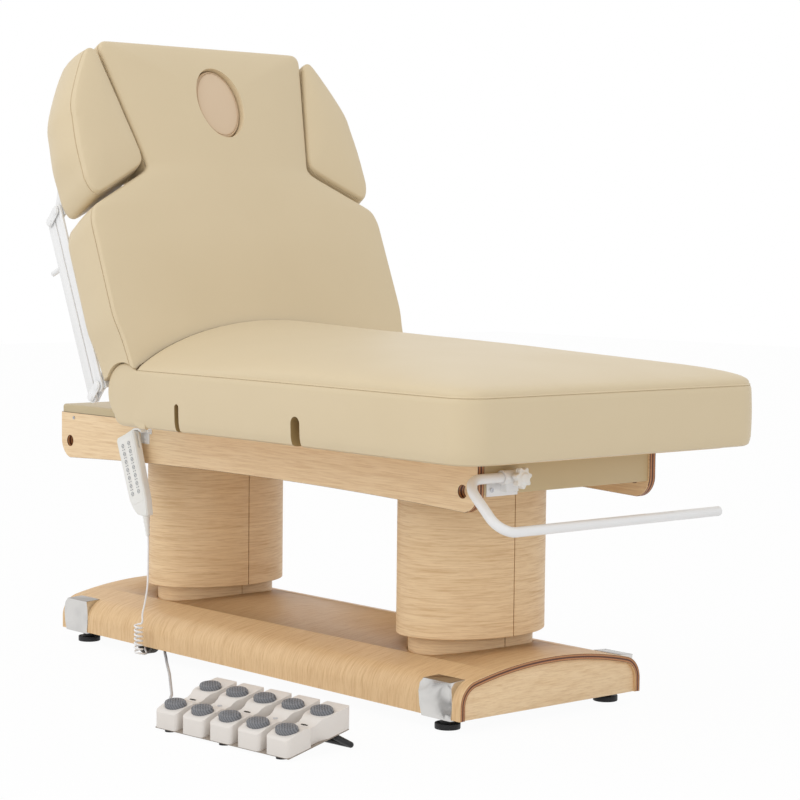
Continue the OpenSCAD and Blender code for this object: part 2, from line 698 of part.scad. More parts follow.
// Handset
hs_y0 = -rail_hw - 16.3;
hs_x = -441;
hs_z = 513;
module hs_place() {
  translate([hs_x, hs_y0, hs_z]) rotate([0, -hs_deg, 0]) rotate([90, 0, 0]) children();
}
function hs_outline(in) = let (w = hs_w / 2 - in, l = hs_l - in) concat(
  arc(w - 8, -in - 6, 8, 0, 90, 5),
  arc(-w + 8, -in - 6, 8, 90, 180, 5),
  [[-w + 1, -45], [-w + 2, -110], [-w + 3, -hs_l + 48], [-w + 11, -hs_l + 28],
      [-14 + in / 2, -hs_l + 12 + in / 2],
   [4, -l + 3], [12, -l], [w - 12, -l], [w - 5, -l + 34], [w - 4, -110], [w - 1, -45]]);
relief_a = [8, -hs_l + 4];
relief_b = [-2, -hs_l - 43];
relief_deg = atan((relief_a[0] - relief_b[0]) / (relief_a[1] - relief_b[1]));
module handset_case() {
  color("whitesmoke") place() {
    difference() {
      hs_place() {
        linear_extrude(height = 2) polygon(hs_outline(2));
        translate([0, 0, 2 - eps]) linear_extrude(height = hs_t - 4 + 2 * eps) polygon(hs_outline(0));
        translate([0, 0, hs_t - 2]) linear_extrude(height = 2) polygon(hs_outline(2));
        translate([relief_a[0], relief_a[1], hs_t / 2]) rotate([90, 0, 0]) rotate([0, -relief_deg, 0])
          cylinder(r1 = 8, r2 = 3.6, h = norm(relief_a - relief_b));
      }
      hs_place() translate([hs_w / 2 - 4, -40, hs_t / 2 - 2]) cube([6, 34, 4]);
    }
    translate([hs_x, hs_y0 + 7, hs_z]) rotate([90, 0, 0]) linear_extrude(height = 17)
      polygon([[-6, -6], [-6, 3], [10, 10], [25, 17.5], [41, 19], [53, 15], [53, 10.5], [41, 14.5],
          [27, 13], [16, 6], [12, -6]]);
  }
}
module handset_keys() {
  w = hs_w / 2;
  color([0.45, 0.46, 0.48]) place() hs_place() translate([0, 0, hs_t]) {
    linear_extrude(height = 0.8)
      polygon([[-w + 7, -8], [-w + 9, -110], [-w + 10, -hs_l + 52], [-w + 18, -hs_l + 36],
          [w - 14, -hs_l + 36], [w - 11, -110], [w - 9, -8]]);
    for (i = [0 : 6])
      for (s = [-1, 1])
        translate([s * 12.5 - 8, -28 - i * 19, 0.79]) linear_extrude(height = 0.6) polygon(
          [[2, 0], [12, 0], [14, 2], [14, 10], [12, 12], [2, 12], [0, 10], [0, 2]]);
  }
}
holder_x = hs_x + 19;
module handset_holder() {
  color("whitesmoke") place() {
    translate([holder_x, -rail_hw - 3, 495]) cube([32.5, 3, 26.5]);
    translate([holder_x + 30, -rail_hw - 3, 518]) cube([12, 3, 12]);
    translate([holder_x + 10, -rail_hw - 16, 521]) cube([13, 16, 3.6]);
    translate([holder_x + 37.5, -rail_hw - 3 + eps, 525]) rotate([90, 0, 0]) cylinder(r = 3, h = 8);
    for (z = [501, 512])
      translate([holder_x + 16, -rail_hw - 3 + eps, z]) rotate([90, 0, 0]) cylinder(r = 3.5, h = 1.6);
  }
}

// Cords: one tube swept along a row of points
function unit(v) = v / norm(v);
function tangents(p) = [for (i = [0 : len(p) - 1]) unit(p[min(i + 1, len(p) - 1)] - p[max(i - 1, 0)])];
function carried(ts, n0) = [for (i = 0, n = unit(n0 - (n0 * ts[0]) * ts[0]); i < len(ts); i = i + 1,
    n = i < len(ts) ? unit(n - (n * ts[i]) * ts[i]) : n) n];
module cord(path, r, n, start, end) {
  base = tangents(path);
  last = len(path) - 1;
  ts = [for (i = [0 : last]) i == 0 ? start : i == last ? end : base[i]];
  ns = carried(ts, cross(ts[0], abs(ts[0][2]) > 0.9 ? [0, 1, 0] : [0, 0, 1]));
  pts = [for (i = [0 : last]) let (b = cross(ts[i], ns[i])) for (j = [0 : n - 1]) path[i]
      + r * (cos(360 * j / n) * ns[i] + sin(360 * j / n) * b)];
  faces = concat([for (i = [0 : last - 1]) for (j = [0 : n - 1]) let (a = i * n + j,
      c = i * n + (j + 1) % n) each [[a, c + n, c], [a, a + n, c + n]]],
    [[for (j = [0 : n - 1]) j]], [[for (j = [n - 1 : -1 : 0]) last * n + j]]);
  polyhedron(points = pts, faces = faces);
}
function between(p, i, t) = let (a = p[max(i - 1, 0)], b = p[i], c = p[i + 1],
    d = p[min(i + 2, len(p) - 1)])
  0.5 * (2 * b + (c - a) * t + (2 * a - 5 * b + 4 * c - d) * t * t + (3 * b - a - 3 * c + d) * t * t * t);
function spline(p, m) = concat([for (i = [0 : len(p) - 2]) for (j = [0 : m - 1]) between(p, i, j / m)],
    [p[len(p) - 1]]);

// Curly cord: from the straight cord at the top down to the lead under the base
coil_x = -389.5;
coil_y = -base_hw - 25.5;
coil_top = 96;
coil_low = 16;
lead = 2 * cord_r;
turn_r = 10;
coil_steps = 8 * curls - 3;
coil_pitch = (coil_top - coil_low - turn_r - lead) * 8 / coil_steps;
coil_fall = atan(coil_pitch / (2 * PI * curl_r));
function on_coil(a, z) = [coil_x + curl_r * cos(a), coil_y + curl_r * sin(a), z];
coil_a = 45 * coil_steps;
turn_a = turn_r * 180 / (PI * curl_r);
coil_h = coil_low + coil_pitch * coil_steps / 8;
coil_path = concat([for (i = [0 : coil_steps]) on_coil(-45 * i, coil_low + coil_pitch * i / 8)],
  [for (t = [30, 60, 90]) on_coil(-coil_a - turn_a * sin(t), coil_h + turn_r * (1 - cos(t)))],
  [on_coil(-coil_a - turn_a, coil_top)]);
coil_end = coil_path[len(coil_path) - 1];
coil_start = coil_path[0];
coil_dir = [0, -cos(coil_fall), sin(coil_fall)];
coil_gap = min([for (i = [0 : coil_steps]) for (j = [i + 5 : 1
    : coil_steps]) norm(coil_path[i] - coil_path[j])]) - 2 * cord_r;
echo(coil_gap = coil_gap);
module curly_cord() {
  color("whitesmoke") place() cord(coil_path, cord_r, 6, coil_dir, [0, 0, 1]);
}
function hs_point(u, v) = [hs_x + u * cos(hs_deg) - v * sin(hs_deg), hs_y0 - hs_t / 2,
    hs_z + u * sin(hs_deg) + v * cos(hs_deg)];
module handset_cord() {
  tip = hs_point(relief_b[0], relief_b[1]);
  d = unit(tip - hs_point(relief_a[0], relief_a[1]));
  e = tip;
  y = e[1];
  color("whitesmoke") place() cord(concat([e], spline([e + d * lead, e + [1.5, 0, -20],
      [e[0] + 1, y, e[2] - 52],
    [e[0], y, e[2] - 102], [e[0] - 6, y + 1, e[2] - 132], [coil_end[0] + 8, coil_end[1] - 1, coil_top + 28],
    coil_end + [0.5, 0, 12], coil_end + [0, 0, lead]], 3), [coil_end]), cord_r, 6, d, [0, 0, -1]);
}
cord_z = max(foot_cord_r, cord_r) + 0.2;
module base_cord() {
  s = [plug_at[0] + 18, box_y - plug_l, plug_at[2] - 12];
  c = coil_start;
  color("whitesmoke") place() cord(concat([c], spline([c - lead * coil_dir, c + [-3, 12, -3],
      c + [-12, 24, -3],
    c + [s[0] - c[0] + 6, s[1] - c[1] - 14, 3], s - [-1, lead + 4, 1], s - [0, lead, 0]], 3), [s]), cord_r,
        6, -coil_dir, [0, 1, 0]);
}

// Foot control
module fc() {
  translate([fc_x, fc_y, 0]) rotate([0, 0, fc_deg]) children();
}
fc_rear = fc_front + unit_l;
low_z = 6;
low_slope = 0.216;
top_slope = 0.2516;
pad_deg = atan(top_slope);
function under_z(n) = low_z + (n - fc_front) * low_slope;
function over_z(n) = low_z + 38.5 + (n - fc_front - 3) * top_slope;
module row_prism(w) {
  translate([-w / 2, 0, 0]) rotate([90, 0, 90]) linear_extrude(height = w) children();
}
module unit_plan() {
  h = unit_w / 2;
  polygon(concat(arc(h - 9, fc_front + 9, 9, -90, 0, 4),
      [[h, fc_front + 58], [h - 8, -6], [h - 8, 14], [h, fc_rear - 62]],
    arc(h - 14, fc_rear - 14, 14, 0, 90, 5), arc(-h + 14, fc_rear - 14, 14, 90, 180, 5),
    [[-h, fc_rear - 62], [-h + 8, 14], [-h + 8, -6], [-h, fc_front + 58]],
        arc(-h + 9, fc_front + 9, 9, 180, 270, 4)));
}
module housing() {
  difference() {
    intersection() {
      linear_extrude(height = 120) unit_plan();
      row_prism(unit_w + 2) polygon([[fc_front, under_z(fc_front)], [fc_rear - 3, under_z(fc_rear - 3)],
          [fc_rear, under_z(fc_rear) + 3],
        [fc_rear, over_z(fc_rear) - 9], [fc_rear - 6, over_z(fc_rear - 6)], [22, over_z(22)],
            [6, over_z(6) - 7], [-8, over_z(-8) - 7],
        [-24, over_z(-24)], [fc_front + 20, over_z(fc_front + 20)],
            [fc_front + 3, over_z(fc_front + 3) - 4], [fc_front, over_z(fc_front) - 7]]);
    }
    for (s = [-1, 1])
      translate([0, s * pad_gap / 2, over_z(s * pad_gap / 2)]) rotate([pad_deg, 0, 0])
        translate([0, 0, -15]) linear_extrude(height = 30) polygon(oval(pad_a + 0.5, pad_b + 0.5, 2, 36));
  }
}
module foot_housings() {
  color("whitesmoke") place() fc() for (i = [-2 : 2]) translate([i * unit_pitch, 0, 0]) housing();
}
plate_t = 2.5;
module foot_plate() {
  color("tan") place() fc() row_prism(2 * plate_hl - 4)
    polygon([[fc_front + 2, under_z(fc_front + 2)], [fc_rear - 8, under_z(fc_rear - 8)],
      [fc_rear - 8, under_z(fc_rear - 8) - plate_t], [fc_front + 2, under_z(fc_front + 2) - plate_t]]);
}
module foot_bail() {
  br = 6;
  bx = plate_hl - 10;
  by = fc_rear + 4;
  ty = fc_rear - 34;
  tz = under_z(ty) - plate_t - br / cos(atan(low_slope));
  color([0.12, 0.12, 0.12]) place() fc() {
    for (i = [-2, 0, 2]) difference() {
      translate([i * unit_pitch, fc_front + 14, 0]) cylinder(r = 11, h = 20);
      row_prism(600) polygon([[fc_front - 40, under_z(fc_front - 40) - plate_t],
          [40, under_z(40) - plate_t], [40, 60], [fc_front - 40, 60]]);
    }
    translate([-bx, by, br]) rotate([0, 90, 0]) cylinder(r = br, h = 2 * bx);
    for (s = [-1, 1]) {
      translate([s * bx, by, br]) sphere(r = br);
      translate([s * bx, by, br]) rotate([atan2(by - ty, tz - br), 0, 0]) cylinder(r = br,
          h = norm([by - ty, tz - br]));
      translate([s * bx, ty, tz]) sphere(r = br);
    }
  }
}
module pad(k) {
  i = floor(k / 2) - 2;
  s = k % 2 == 0 ? -1 : 1;
  color([0.35, 0.36, 0.38]) place() fc() translate([i * unit_pitch, s * pad_gap / 2,
      over_z(s * pad_gap / 2)])
    rotate([pad_deg, 0, 0]) {
      translate([0, 0, -9]) linear_extrude(height = 15) polygon(oval(pad_a, pad_b, 2, 36));
      translate([0, 0, 6 - eps]) linear_extrude(height = 2) polygon(oval(pad_a - 1.5, pad_b - 1.5, 2, 36));
      for (m = [-2 : 2])
        translate([m * 7 - 1, -9 + abs(m), 7.9]) cube([2, 18 - 2 * abs(m), 0.9]);
    }
}
module pad_1() { pad(0); }
module pad_2() { pad(1); }
module pad_3() { pad(2); }
module pad_4() { pad(3); }
module pad_5() { pad(4); }
module pad_6() { pad(5); }
module pad_7() { pad(6); }
module pad_8() { pad(7); }
module pad_9() { pad(8); }
module pad_10() { pad(9); }
module foot_cord() {
  r = foot_cord_r;
  s = [sock_x, sock_y, sock_z];
  a = [-2 * unit_pitch - 2, fc_rear, 58];
  c = cos(fc_deg);
  q = sin(fc_deg);
  e = [fc_x + a[0] * c - a[1] * q, fc_y + a[0] * q + a[1] * c, a[2]];
  d = [q, -c, 0];
  f = r + 0.3;
  color("silver") place() cord(concat([s], spline([s - [0, 6, 0], s + [1, -12, -7], s + [4, -18, -18],
      [s[0] + 16, s[1] - 23, f + 3],
    [s[0] + 36, s[1] - 36, f], [s[0] + 102, s[1] - 79, f], [s[0] + 162, s[1] - 118, f],
        [s[0] + 219, s[1] - 157, f],
    [s[0] + 282, s[1] - 200, f], [s[0] + 352, s[1] - 248, f], [s[0] + 400, s[1] - 281, f],
        [s[0] + 482, s[1] - 286, f],
    [e[0] - 68, e[1] + 20, 12], [e[0] - 18, e[1] + 28, 36], [e[0] + 2, e[1] + 24, 54], e - 7 * d], 4), [e]),
        r, 8, [0, -1, 0], d);
}

// Backrest, drawn flat with the hinge at the origin and the head end towards -X
module back() {
  place() translate([hinge_x, 0, hinge_z]) rotate([0, back_deg, 0]) children();
}
low_x = -70;
knee = 29.1;
skirt_z = hinge_d - back_t;
board_z1 = -43;
board_z0 = -54.5;
pocket_z = board_z1 + soft_gap;
lean = 0.17;
function lean_at(v) = lean * smooth((v + low_x + knee) / 330);
top_v = back_len - knee;
face_v = back_len - face_in;
neck_v = 500;
neck_w = back_hw - 184;
head_w = neck_w + 58;
function back_w(v) = v <= 350 ? back_hw : v <= 385 ? back_hw - 8 * pow((v - 350) / 35, 2)
  : v <= 402 ? back_hw - 8 - 14 * pow((v - 385) / 17, 1.4)
      : v <= 482 ? back_hw - 22 - (back_hw - 22 - neck_w - 14) * (v - 402) / 80
  : v <= neck_v ? neck_w + 14 * pow((neck_v - v) / 18, 1.6)
      : neck_w + (v - neck_v) * (head_w - neck_w) / 280;
head_r = 28;
back_vs = concat([-low_x - knee, 80, 112, 150, 200, 260, 320, 350, 368, 385, 394, 402, 442, 482, 490,
    neck_v, 560, 620, 680, 730],
  [for (a = [0, 21, 24.3, 42, 62, 90]) top_v - head_r + head_r * sin(a)]);
last_ring = len(back_vs) - 1;
function ring_w(v) = v <= top_v - head_r ? back_w(v) : let (a = asin(min(1,
    (v - top_v + head_r) / head_r))) back_w(v) - head_r * (1 - cos(a));
function crown_at(v) = back_crown * (v < 112 ? 0.12 : 0.12
    + 0.88 * smooth((v - 112) / 210)) * bow(0.9995 * max(0, v - top_v + 90) / 90)
  * (v < 50 ? 0.6 : 1);
face_fr = [0.985, 0.95, 0.87, 0.74, 0.56, 0.35, 0.12];
neck_skirt = rail_top + deck_t + soft_gap - hinge_z;
function skirt_at(v) = v < 440 ? skirt_z : neck_skirt;
function back_half(v, w, rec, h) = let (low = skirt_at(v)) concat(
  [[min(262, w - 28), rec], [min(262, w - 28), low], [w - 9, low], [w - 2.5, low + (rec - low) * 0.28],
      [w - 0.5, rec],
   [w, -8], [w - 0.5, 36], [w - 2, 49], [w - 5, hinge_d]],
  [for (f = face_fr) [(w - 5) * f, hinge_d + h * bow(f)]]);
function back_ring(i) = let (v = back_vs[i], s = lean_at(v),
    half = back_half(v, ring_w(v), i < last_ring - 3 ? pocket_z : neck_skirt + 4, crown_at(v)),
    pts = concat([for (p = half) p], [for (p = flip(half)) [-p[0], p[1]]]))
  [for (p = pts) [-v - knee + s * (hinge_d - p[1]), p[0], p[1]]];
hole_a = face_a + 1.5;
hole_b = face_b + 1.5;
module back_cushion() {
  color("tan") back() difference() {
    loft([for (i = [0 : last_ring]) back_ring(i)], 0);
    translate([-face_v, 0, -80]) linear_extrude(height = 200) polygon([for (p = oval(hole_b, hole_a, 2,
        40)) p]);
  }
}
roll_hw = 358;
roll_z0 = -hinge_d + 1;
strip_y0 = upright_y1 + 0.8;
strip_y1 = back_hw - 3;
knuckle_y = 180;
knuckle_w = 40;
module across(y0, y1) {
  translate([0, y1, 0]) rotate([90, 0, 0]) linear_extrude(height = y1 - y0) children();
}
module back_roll() {
  color("tan") back() {
    difference() {
      across(-roll_hw, roll_hw) union() {
        circle(r = hinge_d, $fn = 64);
        translate([low_x, roll_z0]) square([-low_x, hinge_d - roll_z0]);
      }
      translate([0, roll_hw + 1, 0]) rotate([90, 0, 0]) cylinder(r = shaft_r + 0.3, h = 2 * roll_hw + 2);
      translate([low_x - 1, -board_w1 - 4 - soft_gap, -80]) cube([-low_x - 11 + 0.7,
          2 * board_w1 + 8 + 2 * soft_gap, 80 + pocket_z]);
      for (y = [-knuckle_y - knuckle_w, knuckle_y])
        translate([low_x - 1, y - soft_gap, -80]) cube([-low_x + 24, knuckle_w + 2 * soft_gap, 80 + 21]);
    }
    both() difference() {
      across(strip_y0, strip_y1) translate([low_x, skirt_z]) square([-low_x - 44, hinge_d - skirt_z]);
      translate([0, back_hw + 1, 0]) rotate([90, 0, 0]) cylinder(r = cheek_r + 1.5, h = 80);
    }
  }
}
board_w1 = 255;
board_w2 = neck_w - 31;
board_end = -(top_v - 37) - knee + lean * (hinge_d - board_z0);
module back_board() {
  color("goldenrod") back() translate([0, 0,
      board_z0]) linear_extrude(height = board_z1 - board_z0) difference() {
    polygon([[-12, -board_w1], [-12, board_w1], [-neck_v + 58, board_w1], [-neck_v + 32, board_w2],
        [board_end, board_w2],
      [board_end, -board_w2], [-neck_v + 32, -board_w2], [-neck_v + 58, -board_w1]]);
    translate([-face_v, 0]) polygon(oval(face_b - 8, face_a - 8, 2, 40));
  }
}
module hinge_shaft() {
  color("silver") back() {
    translate([0, upright_y1 - 1, 0]) rotate([90, 0, 0]) cylinder(r = shaft_r, h = 2 * upright_y1 - 2);
    both() across(knuckle_y, knuckle_y + knuckle_w)
      polygon([[-66, board_z1], [-12, board_z1], [14, -16], [20, -6], [20, 6], [10, 18], [-10, 18],
          [-66, -26]]);
  }
}
module face_plug() {
  color("tan") back() translate([-face_v, 0, board_z1 + soft_gap]) {
    linear_extrude(height = hinge_d - board_z1 - 3) polygon(oval(face_b, face_a, 2, 40));
    d = [[0, 1], [3, 0.985], [6, 0.93], [8, 0.8], [9.5, 0.6], [10.5, 0.35], [11, 0.12]];
    n = 40;
    translate([0, 0, hinge_d - board_z1 - 3 - eps]) polyhedron(
      points = [for (l = d) for (p = oval(face_b * l[1], face_a * l[1], 2, n)) [p[0], p[1], l[0]]],
      faces = concat([for (i = [0 : 5]) for (j = [0 : n - 1]) let (a = i * n + j,
          b = i * n + (j + 1) % n) each [[a, a + n, b + n], [a, b + n, b]]],
        [[for (j = [0 : n - 1]) j]], [[for (j = [n - 1 : -1 : 0]) 6 * n + j]]));
  }
}

// Arm pads and their parallel bars, one side at a time; flipped for the other side
module side_l() {
  back() mirror([0, 1, 0]) children();
}
module side_r() {
  back() children();
}
in_y0 = 391.7;
in_y1 = 395.7;
bar_y0 = 398;
out_y0 = bar_y0 + bar_t + 1.5;
ar = [-31, -117];
af = [-46, -85];
bar_tip = [-bar_l * cos(1.08), -bar_l * sin(1.08)];
br = ar + bar_tip;
bf = af + bar_tip;
module rod(p, r, y0, y1) {
  translate([p[0], y1, p[1]]) rotate([90, 0, 0]) cylinder(r = r, h = y1 - y0);
}
module pin_stack(p, r) {
  rod(p, r, in_y0, out_y0 + 3);
  rod(p, 9, out_y0 + 3 - eps, out_y0 + 6);
  rod(p, 7.5, in_y1 - eps, bar_y0 - 0.3);
}
module capsule(p, q, r) {
  a = atan2(q[1] - p[1], q[0] - p[0]);
  polygon(concat(arc(q[0], q[1], r, a - 90, a + 90, 12), arc(p[0], p[1], r, a + 90, a + 270, 12)));
}
module link_plate(p, q, y0, y1, r) {
  across(y0, y1) capsule(p, q, r);
}
mount_z0 = skirt_z - 6;
mount_z1 = skirt_z - 1;
module mount_side() {
  translate([-75, board_w1, mount_z0]) cube([37, 4, board_z1 - mount_z0 - 2]);
  translate([-75, board_w1, mount_z0]) cube([37, in_y1 - board_w1, mount_z1 - mount_z0]);
  across(in_y0, in_y1) polygon([[-75, mount_z1], [-38, mount_z1], [-33.5, af[1]], [-19, ar[1] + 5],
      [-18, ar[1] - 6], [-25, ar[1] - 13],
    [-38, ar[1] - 12], [-60, af[1] - 12]]);
  link_plate(ar, af, out_y0 + 1, out_y0 + 3.5, 11);
  pin_stack(ar, pin_r);
  pin_stack(af, pin_r);
}
module arm_mounts() {
  color("whitesmoke") back() both() mount_side();
}
module flat_bar(p, q, extra) {
  difference() {
    link_plate(p, q, bar_y0, bar_y0 + bar_t, bar_w / 2);
    rod(p, pin_r + run_gap, bar_y0 - 1, bar_y0 + bar_t + 1);
    rod(q, pin_r + run_gap + extra, bar_y0 - 1, bar_y0 + bar_t + 1);
  }
}
module rear_bar() {
  color("silver") {
    flat_bar(ar, br, 0);
    translate([-345, bar_y0 + bar_t / 2, ar[1] - 5]) rotate([180, 0, 0]) translate([0, 0,
        bar_w / 2 - 2]) cylinder(r = pin_r + 1, h = 32);
  }
}
module front_bar() {
  color("silver") flat_bar(af, bf, 0.35);
}
module rear_bar_l() { side_l() rear_bar(); }
module rear_bar_r() { side_r() rear_bar(); }
module front_bar_l() { side_l() front_bar(); }
module front_bar_r() { side_r() front_bar(); }
module pad_bracket() {
  color("whitesmoke") {
    translate([br[0] - 134, in_y1 - 96, mount_z0 + 0.7]) cube([130, 96, mount_z1 - mount_z0]);
    across(in_y0, in_y1) polygon([[br[0] - 84, mount_z1 - 0.3], [br[0] - 4, mount_z1 - 0.3],
        [br[0] + 15, br[1] + 6], [br[0] + 13, br[1] - 8],
      [br[0] + 2, br[1] - 14], [br[0] - 12, br[1] - 12], [bf[0] - 21, bf[1] - 10]]);
    link_plate(br, bf, out_y0 + 1, out_y0 + 3.5, 11);
    pin_stack(br, pin_r);
    pin_stack(bf, pin_r);
  }
}
module arm_bracket_l() { side_l() pad_bracket(); }
module arm_bracket_r() { side_r() pad_bracket(); }
wing_gap = 4;
function wing_line() = let (o = back_hw - 19, w0 = neck_w + 7, vt = top_v - 21) concat(
  [[w0 + 3.5, 540], [w0 + 1.5, 528], [w0 + 3, 508], [w0 + 9, 499], [w0 + 18, 492]],
  [[o - 24, 428.5], [o - 14, 426], [o - 4, 429], [o + 4, 440], [o + 11, 462], [o + 12, 500], [o + 11, 545],
      [o + 6, 600], [o - 1, 650]],
  [[neck_w + 96, vt - 6], [neck_w + 88, vt], [neck_w + 79, vt], [neck_w + 70, vt - 5],
      [neck_w + 64, vt - 16], [neck_w + 55, vt - 52]]);
module arm_pad() {
  c = [back_hw - 95, top_v - 217.9];
  line = wing_line();
  n = len(line);
  low = hinge_d - wing_t;
  levels = [[low, 0.95], [low + 5, 0.985], [low + 16, 1], [10, 1], [40, 0.998], [50, 0.985],
      [hinge_d, 0.96],
    [hinge_d + wing_crown * 0.45, 0.9], [hinge_d + wing_crown * 0.75, 0.78],
        [hinge_d + wing_crown * 0.92, 0.6], [hinge_d + wing_crown, 0.35]];
  m = len(levels);
  color("tan") polyhedron(
    points = [for (l = levels) for (p = line) let (q = c + l[1] * (p - c)) [-q[1] - knee
        + lean * (hinge_d - l[0]), q[0], l[0]]],
    faces = concat([for (i = [0 : m - 2]) for (j = [0 : n - 1]) let (a = i * n + j,
        b = i * n + (j + 1) % n) each [[a, b, b + n], [a, b + n, a + n]]],
      [[for (j = [n - 1 : -1 : 0]) j]], [[for (j = [0 : n - 1]) (m - 1) * n + j]]));
}
module arm_pad_l() { side_l() arm_pad(); }
module arm_pad_r() { side_r() arm_pad(); }

base_shell();
base_end_panels();
base_frame();
corner_caps();
control_box();
inner_covers();
fixed_tubes();
level_foot_1();
level_foot_2();
level_foot_3();
level_foot_4();
foot_plate();
foot_housings();
foot_bail();
pad_1();
pad_2();
pad_3();
pad_4();
pad_5();
pad_6();
pad_7();
pad_8();
pad_9();
pad_10();
foot_cord();
curly_cord();
foot_cover();
foot_tube();
head_cover();
head_tube();
side_rails();
top_end_panels();
deck();
top_frame();
hinge_brackets();
seat_board();
seat_cushion();
seat_cheeks();
roll_holder();
handset_holder();
handset_case();
handset_keys();
handset_cord();
base_cord();
paper_bar();
star_knob();
back_cushion();
back_roll();
back_board();
hinge_shaft();
arm_mounts();
face_plug();
rear_bar_l();
rear_bar_r();
front_bar_l();
front_bar_r();
arm_pad_l();
arm_pad_r();
arm_bracket_l();
arm_bracket_r();
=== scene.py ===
"""Spa treatment bed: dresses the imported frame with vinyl, oak veneer, polished metal and painted steel."""

import math

import bmesh
import bpy
import numpy as np
from mathutils import Matrix, Vector


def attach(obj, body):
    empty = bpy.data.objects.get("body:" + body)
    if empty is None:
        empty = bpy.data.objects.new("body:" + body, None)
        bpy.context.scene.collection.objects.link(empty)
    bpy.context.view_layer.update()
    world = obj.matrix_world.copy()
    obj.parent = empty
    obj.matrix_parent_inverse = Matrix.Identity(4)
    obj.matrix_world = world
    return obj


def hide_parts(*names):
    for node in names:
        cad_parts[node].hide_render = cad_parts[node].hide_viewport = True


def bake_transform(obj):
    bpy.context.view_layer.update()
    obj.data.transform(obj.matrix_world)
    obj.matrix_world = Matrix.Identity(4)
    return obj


bl_info = {
    "name": "Spa Treatment Bed",
    "version": (1, 0, 0),
    "blender": (4, 5, 0),
    "location": "3D View > Sidebar > Spa Bed",
    "description": "Upholstery, oak veneer and fittings for a lifting spa treatment bed",
    "category": "Add Mesh",
}

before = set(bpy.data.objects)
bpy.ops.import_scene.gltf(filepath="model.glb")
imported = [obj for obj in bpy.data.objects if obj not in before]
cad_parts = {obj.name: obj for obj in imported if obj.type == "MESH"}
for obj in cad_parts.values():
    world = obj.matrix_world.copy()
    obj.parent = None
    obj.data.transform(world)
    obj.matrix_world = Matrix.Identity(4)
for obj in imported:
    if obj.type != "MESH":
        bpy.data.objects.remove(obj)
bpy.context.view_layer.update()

# Bed coordinates: millimetres, X to the foot end, the hand controls on the -Y side, zero at the middle plane
MID_X = 46.8
MID_Y = -133.89391426124381


def rows(points):
    """Bed millimetres to the frame's metres."""
    out = np.array(points, dtype=float).reshape(-1, 3)
    out[:, 0] -= MID_X
    out[:, 1] -= MID_Y
    return out / 1000.0


def srgb(r, g, b):
    """A colour as a picture shows it, turned into linear values."""

    def line(v):
        v /= 255.0
        return v / 12.92 if v <= 0.04045 else ((v + 0.055) / 1.055) ** 2.4

    return (line(r), line(g), line(b), 1.0)


# Sizes and colours
def colour(name, about, default):
    return bpy.props.FloatVectorProperty(
        name=name, description=about, subtype="COLOR", size=4, min=0, max=1, default=default
    )


def length(name, about, default, low, high):
    return bpy.props.FloatProperty(name=name, description=about, unit="LENGTH", default=default, min=low, max=high)


def amount(name, about, default, high):
    return bpy.props.FloatProperty(name=name, description=about, default=default, min=0.0, max=high)


class CushionSettings(bpy.types.PropertyGroup):
    """Upholstery of the seat, the backrest and the arm pads"""

    vinyl: colour("Vinyl", "Colour of the vinyl cover", srgb(220, 202, 168))
    plug_vinyl: colour("Plug vinyl", "Colour of the face plug's front", srgb(221, 197, 168))
    thread: colour("Thread", "Colour of the seam thread", srgb(172, 152, 116))
    seam_depth: length("Seam depth", "Depth of the groove along a sewn edge", 0.0026, 0.0005, 0.004)
    stitch_pitch: length("Stitch pitch", "Distance from one stitch to the next", 0.0046, 0.002, 0.01)
    stitch_length: length("Stitch length", "Length of one stitch", 0.0032, 0.001, 0.008)
    stitch_thickness: length("Thread thickness", "Thickness of the sewing thread", 0.0006, 0.0002, 0.002)
    pucker: length("Pucker", "Height of the soft pulls beside a seam", 0.0006, 0.0, 0.003)


class TimberSettings(bpy.types.PropertyGroup):
    """Oak veneer and layered edges"""

    rail_oak: colour("Rail oak", "Light oak of the rails and the end panels", srgb(240, 212, 172))
    base_oak: colour("Base oak", "Oak veneer of the bent base", srgb(230, 196, 150))
    column_oak: colour("Column oak", "Golden veneer of the column covers", srgb(238, 208, 166))
    ply_light: colour("Ply", "Light layers of the cut edges", srgb(196, 140, 96))
    ply_dark: colour("Ply line", "Dark layers of the cut edges", srgb(84, 46, 30))
    shell_thickness: length("Shell thickness", "Thickness of the bent shell", 0.013, 0.008, 0.02)


class FittingSettings(bpy.types.PropertyGroup):
    """Metal, painted steel, plastic and rubber"""

    paint: colour("White paint", "Powder coat of the bars and brackets", srgb(240, 240, 240))
    plastic: colour("Off-white plastic", "Housings of the handset and the star knob", srgb(240, 239, 235))
    pad_rubber: colour("Pedal rubber", "Grey of the pedal pads", srgb(134, 136, 141))
    black_rubber: colour("Black rubber", "Feet and the foot control's rear tube", srgb(34, 34, 36))
    metal: colour("Polished metal", "Corner caps of the base", srgb(214, 212, 209))


class StageSettings(bpy.types.PropertyGroup):
    """Floor and lamps"""

    floor: colour("Floor", "Colour of the floor", (0.86, 0.86, 0.86, 1.0))
    key_power: amount("Key lamp", "Power of the large lamp in watts", 84.0, 2000.0)
    fill_power: amount("Fill lamp", "Power of the fill lamp in watts", 20.0, 2000.0)
    sky: amount("Room light", "Strength of the room's even light", 0.78, 2.0)


# Node helpers
F, V, C = "NodeSocketFloat", "NodeSocketVector", "NodeSocketColor"
GEO, MAT = "NodeSocketGeometry", "NodeSocketMaterial"


def give(tree, node, inputs):
    """Sets or links a node's inputs."""
    for key, value in inputs.items():
        if isinstance(value, bpy.types.NodeSocket):
            tree.links.new(value, node.inputs[key])
        else:
            node.inputs[key].default_value = value
    return node


def put(tree, kind, inputs=None, **props):
    """Adds a node, sets its properties and sets or links its inputs."""
    node = tree.nodes.new(kind)
    for key, value in props.items():
        setattr(node, key, value)
    return give(tree, node, inputs or {})


